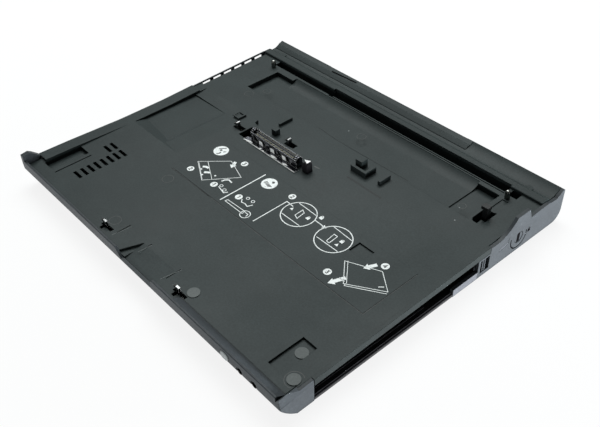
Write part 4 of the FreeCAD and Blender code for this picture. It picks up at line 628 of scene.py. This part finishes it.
# ---------------------------------------------------------------- moulding marks, painted shade and painted highlights on the tray
def make_tray_marks_and_light():
    rings = [ring(x, y, r, 0.4) for x, y, r in (
        (83.0, 61.5, 3.8), (95.0, 14.5, 3.8), (39.0, 164.5, 3.5), (46.0, 176.0, 3.0),
        (137.0, 185.0, 3.2), (232.0, 177.0, 2.6))]
    rings.append(ribbon(arc(260.9, 15.5, 5.2, 60, 300, 30), 0.4))
    plates("moulding_rings", rings, tray, ROOT, 0.015, SHADE)
    # light grey dots where the tray shows bright specks
    pips = [disc(x, y, 0.45, 14)
            for x, y in ((126.0, 183.5), (237.5, 163.5), (232.0, 174.5), (162.5, 162.0))]
    plates("light_grey_pips", pips, tray, ROOT, 0.06, MATS["key_grey"])
    # painted shade along low steps in the tray
    steps = [ribbon([(108.3, 171.5), (129.5, 170.0), (162.1, 170.7), (192.5, 171.6)], 0.4),
             ribbon([(162.2, 147.0), (177.8, 146.7), (192.6, 146.7)], 1.5)]
    plates("tray_step_shade", steps, tray, ROOT, 0.012, SEAM_SHADE)
    # painted highlights: pale lines along edges near the thumb ramp
    lines = [ribbon(line, 0.3) for line in (
        [(105.2, 5.8), (107.2, 18.7)], [(129.0, 9.3), (129.5, 18.5)],
        [(156.6, 6.2), (159.1, 19.3)])]
    plates("edge_highlight_lines", lines, tray, ROOT, 0.012, PAINTED_EDGE_LIGHT)
    # painted shade: a dark plate for the shade in a slit behind the guide post
    slit = [poly((139.5, 138.4), (143.8, 139.2), (143.6, 140.2), (139.3, 139.6))]
    plates("post_slit_shade", slit, tray, ROOT, 0.015, SHADE)


# ---------------------------------------------------------------- docking connector
SHIELD_Y = 128.35      # mm, the front of the shield's upright sheet
FLANGE_TOP = 0.5       # mm above the tray, as the next two
HOUSING_TOP = 7.0
GUIDE_TOP = 8.0


def make_connector_details():
    def on_sheet(u, v, w=0.0):
        """w counts forwards from the shield's sheet, v upwards from the tray."""
        return tray(u, SHIELD_Y - w, v)

    # the springs' near-white is part tinned metal, part painted reflection
    leaves = [poly((95.0, 3.5), (98.6, 3.7), (99.2, 0.6), (95.4, 0.6)),
              poly((107.0, 3.5), (110.9, 3.8), (111.5, 0.9), (107.5, 0.8)),
              poly((119.2, 4.0), (122.8, 4.1), (123.4, 1.2), (119.8, 0.8))]
    plates("shield_springs", leaves, on_sheet, -0.2, 0.12, TINNED_AND_GLINT)
    # painted reflections: bright patches and a bright line along the flange's front edge
    glint_patches = [poly((83.0, 124.9), (88.3, 126.6), (91.6, 126.0), (86.5, 124.7)),
            poly((98.2, 124.9), (99.2, 126.5), (100.8, 126.0), (100.3, 124.7)),
            poly((101.6, 124.7), (102.9, 125.8), (104.0, 125.2), (103.0, 124.6)),
            poly((109.8, 125.9), (113.1, 127.0), (116.9, 126.0), (112.9, 124.8)),
            poly((121.8, 125.9), (125.1, 127.0), (127.2, 126.2), (124.7, 124.9)),
            ribbon([(82.7, 124.75), (135.4, 124.75)], 0.35)]
    plates("flange_glints", glint_patches, tray, FLANGE_TOP - 0.2, FLANGE_TOP + 0.06, TINNED_AND_GLINT)
    rims = [ribbon([(91.5, y), (129.5, y)], 0.3) for y in (129.9, 132.9)]
    plates("housing_lines", rims, tray, HOUSING_TOP - 0.1, HOUSING_TOP + 0.04, MATS["key_grey"])
    # painted glint on the top of the black guide post
    glint = [poly((137.6, 132.3), (141.8, 134.2), (141.9, 130.4))]
    plates("guide_post_glint", glint, tray, GUIDE_TOP - 0.1, GUIDE_TOP + 0.04, TINNED_AND_GLINT)


# ---------------------------------------------------------------- front face and lock
FLUSH = 0.008          # mm, plates on the right-hand wall, which is the edge of the CAD box


def make_front_marks():
    stroke = 0.35
    dock = [ribbon(line, stroke) for line in (
        [(211.2, 13.9), (215.4, 13.9)], [(211.2, 13.9), (211.2, 14.9)],
        [(215.4, 13.9), (215.4, 14.9)])]
    dock.append(arrow(213.3, 17.2, 213.3, 14.5, 0.5, 1.5, 1.0))
    microphone = [ring(231.7, 15.8, 0.75, stroke, 14),
                  ribbon([(231.7, 15.0), (231.7, 13.6)], stroke),
                  ribbon([(230.9, 13.6), (232.5, 13.6)], stroke)]
    headphones = [ribbon(arc(243.2, 14.9, 1.25, 0, 180, 12), stroke),
                  rect(241.7, 13.6, 242.5, 15.0), rect(243.9, 13.6, 244.7, 15.0)]
    plates("front_icons", dock + microphone + headphones, front_face, ROOT, 0.02, DARK_INK)


def make_lock_marks():
    low, high = mm_box("lock_cylinder")
    y, z = (low[1] + high[1]) / 2, (low[2] + high[2]) / 2
    face = high[0] - WIDTH
    # painted shade: a near-black plate over the key slot, wider than the slot
    key = [rect(y - 1.5, z - 3.4, y + 1.3, z + 3.4)]
    plates("key_slot_shade", key, right_wall, face - 0.1, face + 0.02, BLACK_SHADE_AND_INK, "lock")
    # painted shade in the groove round the lock
    groove = [ribbon(arc(y, z, 7.55, 163, 376, 44), 0.6)]
    plates("lock_groove_shade", groove, right_wall, -0.7, -0.3, BLACK_SHADE_AND_INK)
    icon = padlock(197.1, 11.8, 2.6)
    plates("lock_icon", icon, right_wall, ROOT, FLUSH, BLACK_SHADE_AND_INK)
    # fills the CAD's deep finger grip up to near the wall, and paints the light on its lower lip
    # as a pale streak
    grip = [poly((168.25, 10.4), (176.95, 12.15), (176.95, 16.4), (168.25, 14.7))]
    plates("finger_grip_face", grip, right_wall, -0.95, -0.12, MATS["case_plastic"])
    streak = [ribbon([(168.8, 11.2), (176.4, 12.7)], 0.8)]
    plates("finger_grip_highlight", streak, right_wall, -0.3, -0.08, LIP_MAT)


# ---------------------------------------------------------------- drive bay, rear bar, cover
def make_bay_marks():
    """The sill along the bottom of the bay, with its rib, black partly as the rail's colour and
    partly as painted shade under the bay, and the pale face of the low wall.
    """
    x = WIDTH - 3.55
    sill = [(x, 1.0), (x + 3.1, 1.0), (x + 3.5, 1.35), (x + 3.5, 3.0), (x + 3.2, 3.3),
            (x + 2.4, 3.3), (x + 2.4, 4.0), (x + 2.1, 4.0), (x + 2.1, 3.3), (x, 3.3)]
    run_along("bay_sill_trim", sill, lambda y, u, v: corner(u, y, v), 22.3, 127.8,
              MATS["sheet_black"])
    lip = [rect(128.2, 1.3, 149.3, 6.2)]
    plates("bay_lip_face", lip, right_wall, -0.2, FLUSH, LIP_MAT)


STRIP_Y = 226.5        # mm, the front edge of the raised strip along the rear bar
STRIP_Z = 22.8
STRIP_RISE = 0.378


def make_bar_marks():
    def strip_top(x, y, w=0.0):
        """A point w mm above the raised strip, which climbs towards the rear."""
        return corner(x, y, STRIP_Z + (y - STRIP_Y) * STRIP_RISE + w)

    # painted shade: a near-black line for the slit in the raised strip
    slit = [ribbon([(62.5, 227.0), (88.2, 228.0)], 1.1)]
    plates("bar_slit_shade", slit, strip_top, ROOT, 0.03, BLACK_SHADE_AND_INK)
    fillet = [(222.6, 20.72), (226.48, 22.78), (226.48, 21.6)]
    run_along("bar_strip_fillet", fillet, corner, 0.3, 196.6, TRAY_MAT)


RAMP_DROP = 3.07       # mm under the tray at the thumb ramp's front end
RAMP_Y = 2.0           # mm from the front face, where the ramp starts
RAMP_LENGTH = 14.0


def make_cover_marks():
    def ramp_top(x, y, w=0.0):
        """A point w mm above the thumb ramp, which climbs to the tray."""
        return tray(x, y, -RAMP_DROP * (1 - (y - RAMP_Y) / RAMP_LENGTH) + w)

    # painted light: the thumb ramp drawn lighter than the tray
    ramp_light_patch = [rect(125.4, 2.3, 156.2, 15.9)]
    plates("ramp_light_patch", ramp_light_patch, ramp_top, ROOT, 0.012, RAMP_LIT_MAT)
    # painted shade: a dark fill in the seam behind the front lip
    seam = [ribbon([(176.4, 6.7), (264.2, 6.7)], 0.46)]
    plates("lip_seam_shade", seam, tray, -0.4, -0.02, SEAM_SHADE)


# ---------------------------------------------------------------- rear ports
VGA_PITCH = 2.29       # mm between the contacts in a row
VGA_STAGGER = 0.55     # mm from one row to the next, sideways
LAN_PITCH = 1.02
USB_PITCH = 16.0       # mm between the ports
USB_CONTACT_PITCH = 2.33


def rod(bm, a, b, r, n=20, cone=0.0):
    """A closed rod from a to b, with a chamfer of cone at b, all in metres."""
    axis = (b - a).normalized()
    side = axis.orthogonal().normalized()
    other = axis.cross(side)
    turn = [2 * math.pi * i / n for i in range(n)]
    rows = []
    for p, rr in ((a, r), (b - axis * cone, r), (b, r - cone)):
        rows.append([bm.verts.new(p + (side * math.cos(t) + other * math.sin(t)) * rr)
                     for t in turn])
    bm.faces.new(list(reversed(rows[0])))
    bm.faces.new(rows[2])
    for low, high in zip(rows, rows[1:]):
        bridge(bm, low, high)


def make_port_details():
    low, high = mm_box("vga_port")
    mid, z = (low[0] + high[0]) / 2, (low[2] + high[2]) / 2
    holes = [disc(mid + (i - 2) * VGA_PITCH + (row - 1) * VGA_STAGGER, z + dz, 0.42, 12)
             for row, dz in enumerate((-2.0, 0.0, 2.0)) for i in range(5)]
    plates("vga_contacts", holes, rear_face, -1.1, -0.98, MATS["black_plastic"])

    low, high = mm_box("ethernet_port")
    mid, z = (low[0] + high[0]) / 2, high[2]
    columns = [mid + (i - 3.5) * LAN_PITCH for i in range(8)]
    wires = [ribbon([(x, z - 2.6), (x, z - 5.4)], 0.4) for x in columns]
    plates("ethernet_contacts", wires, rear_face, -9.5, -9.0, MATS["contact_gold"])

    low, high = mm_box("usb_ports")
    columns = [low[0] + i * USB_PITCH + 3.1 + k * USB_CONTACT_PITCH
               for i in range(3) for k in range(4)]
    blades = [rect(x - 0.5, DEPTH - 9.5, x + 0.5, DEPTH - 2.6) for x in columns]
    plates("usb_contacts", blades, corner, low[2] + 3.3, low[2] + 3.42, MATS["contact_gold"])

    low, high = mm_box("dc_inlet")
    mid, z = (low[0] + high[0]) / 2, (low[2] + high[2]) / 2
    bm = bmesh.new()
    rod(bm, corner(mid, DEPTH - 9.5, z), corner(mid, DEPTH - 1.2, z), 0.0011, cone=0.0003)
    finish_piece("dc_pin_sleeve", bm, MATS["steel"])


# ---------------------------------------------------------------- screws
def loose_parts(obj):
    """The bounding boxes of a mesh's separate parts, in metres."""
    bm = bmesh.new()
    bm.from_mesh(obj.data)
    bmesh.ops.remove_doubles(bm, verts=bm.verts, dist=1e-6)
    seen, boxes = set(), []
    for start in bm.verts:
        if start in seen:
            continue
        stack, pts = [start], []
        seen.add(start)
        while stack:
            v = stack.pop()
            pts.append(v.co.copy())
            for e in v.link_edges:
                other = e.other_vert(v)
                if other not in seen:
                    seen.add(other)
                    stack.append(other)
        boxes.append((Vector([min(p[k] for p in pts) for k in range(3)]),
                      Vector([max(p[k] for p in pts) for k in range(3)])))
    bm.free()
    return boxes


def cross(x, y, long, half):
    """A cross with arms that reach long from its middle and are half wide each way."""
    quarter = [(-long, -half), (-half, -half), (-half, -long)]
    pts = []
    for _ in range(4):
        pts += quarter
        quarter = [(-v, u) for u, v in quarter]
    return poly(*[(x + u, y + v) for u, v in pts])


def make_screw_recesses():
    crosses = []
    depth = 0.0
    for low, high in loose_parts(frame["nodes"]["case_screws"]):
        x, y = ((low.x + high.x) / 2 - X0) / MM, ((low.y + high.y) / 2 - Y0) / MM
        depth = low.z / MM
        crosses.append(cross(x, y, 1.3, 0.25))
    plates("screw_recesses", crosses, corner, depth - 0.02, depth + 0.1, MATS["black_plastic"])


make_print()
make_tray_marks_and_light()
make_connector_details()
make_front_marks()
make_lock_marks()
make_bay_marks()
make_bar_marks()
make_cover_marks()
make_port_details()
make_screw_recesses()


# ---------------------------------------------------------------- camera, fitted to the photo
CAMERA_PLACE = (449.7, -138.5, 325.6)      # mm, as for corner()
CAMERA_TURN = (49.61, 39.83, -1.627)       # degrees: azimuth, elevation, roll
FOCAL_PIXELS = 785.9
PICTURE_PIXELS = 600.0                     # the picture's width
SENSOR_MM = 36.0


def make_camera():
    az, el, roll = (math.radians(angle) for angle in CAMERA_TURN)
    back = Vector((math.sin(az) * math.cos(el), -math.cos(az) * math.cos(el), math.sin(el)))
    right = (-back).cross(Vector((0, 0, 1))).normalized()
    up = right.cross(-back)
    c, s = math.cos(roll), math.sin(roll)
    cam = bpy.data.objects.new("camera", bpy.data.cameras.new("camera"))
    bpy.context.scene.collection.objects.link(cam)
    cam.data.sensor_width = SENSOR_MM
    cam.data.lens = SENSOR_MM * FOCAL_PIXELS / PICTURE_PIXELS
    cam.data.clip_start = 0.01
    cam.data.clip_end = 20.0
    turn = Matrix((right * c + up * s, up * c - right * s, back)).transposed().to_4x4()
    turn.translation = corner(*CAMERA_PLACE)
    cam.matrix_world = turn
    bpy.context.scene.camera = cam


# ---------------------------------------------------------------- floor, world and lamps
WHITE = (1, 1, 1, 1)
FLOOR_WHITE = 0.86     # the share of plain white in what the camera sees of the floor
FLOOR_HALF = 4.0       # metres
FLOOR_Z = -0.0002      # metres, just under the feet
WORLD_LIGHT = 0.12


def white_for_camera(mat, shader, amount):
    """Camera and reflection rays see mostly plain white; the rest of the light sees the shader."""
    path = add_node(mat, "ShaderNodeLightPath")
    both = add_node(mat, "ShaderNodeMath")
    both.operation = "MAXIMUM"
    link(mat, path.outputs["Is Camera Ray"], both.inputs[0])
    link(mat, path.outputs["Is Glossy Ray"], both.inputs[1])
    scale = add_node(mat, "ShaderNodeMath", {1: amount})
    scale.operation = "MULTIPLY"
    link(mat, both.outputs[0], scale.inputs[0])
    glow = add_node(mat, "ShaderNodeEmission", {"Color": WHITE, "Strength": 1.0})
    mix = add_node(mat, "ShaderNodeMixShader")
    link(mat, scale.outputs[0], mix.inputs[0])
    link(mat, shader, mix.inputs[1])
    link(mat, glow.outputs[0], mix.inputs[2])
    return mix.outputs[0]


def make_floor():
    mesh = bpy.data.meshes.new("floor")
    bm = bmesh.new()
    bmesh.ops.create_grid(bm, x_segments=1, y_segments=1, size=FLOOR_HALF)
    bm.to_mesh(mesh)
    bm.free()
    floor = bpy.data.objects.new("floor", mesh)
    bpy.context.scene.collection.objects.link(floor)
    floor.location.z = FLOOR_Z
    mat = bpy.data.materials.new("floor_white")
    out = start_tree(mat, "ShaderNodeOutputMaterial")
    diff = add_node(mat, "ShaderNodeBsdfDiffuse", {"Color": (0.95, 0.95, 0.95, 1)})
    link(mat, white_for_camera(mat, diff.outputs[0], FLOOR_WHITE), out.inputs[0])
    mesh.materials.append(mat)


def make_world():
    """Dim light on the object, and a white background for the camera."""
    world = bpy.data.worlds.new("world")
    out = start_tree(world, "ShaderNodeOutputWorld")
    dim = add_node(world, "ShaderNodeBackground",
                   {"Color": (0.94, 1.0, 1.0, 1), "Strength": WORLD_LIGHT})
    white = add_node(world, "ShaderNodeBackground", {"Color": WHITE, "Strength": 1.0})
    path = add_node(world, "ShaderNodeLightPath")
    mix = add_node(world, "ShaderNodeMixShader")
    link(world, path.outputs["Is Camera Ray"], mix.inputs[0])
    link(world, dim.outputs[0], mix.inputs[1])
    link(world, white.outputs[0], mix.inputs[2])
    link(world, mix.outputs[0], out.inputs[0])
    bpy.context.scene.world = world


def lamp(name, place, aim, size, watts, colour, glossy=True):
    """A soft rectangular lamp, size (width, height) in metres; glossy shows it in reflections."""
    data = bpy.data.lights.new(name, "AREA")
    data.shape = "RECTANGLE"
    data.size, data.size_y = size
    data.energy = watts
    data.color = colour
    obj = bpy.data.objects.new(name, data)
    bpy.context.scene.collection.objects.link(obj)
    obj.location = place
    obj.rotation_mode = "QUATERNION"
    obj.rotation_quaternion = (Vector(aim) - Vector(place)).to_track_quat("-Z", "Y")
    obj.visible_glossy = glossy


make_camera()
make_floor()
make_world()
lamp("softbox", place=(-0.53, 0.46, 1.32), aim=(0, 0, 0), size=(1.2, 1.2), watts=26.0,
     colour=(0.95, 1.0, 1.0))
lamp("front_strip", place=(-0.2, -0.75, 0.02), aim=(-0.05, -0.1, 0.012), size=(1.0, 0.036),
     watts=4.2, colour=(0.94, 0.98, 1.0), glossy=False)
lamp("right_strip", place=(0.70, 0.36, 0.018), aim=(0.1, 0.08, 0.012), size=(0.7, 0.03),
     watts=21.0, colour=(0.94, 0.96, 1.0), glossy=False)
bpy.context.scene.view_settings.view_transform = "Standard"
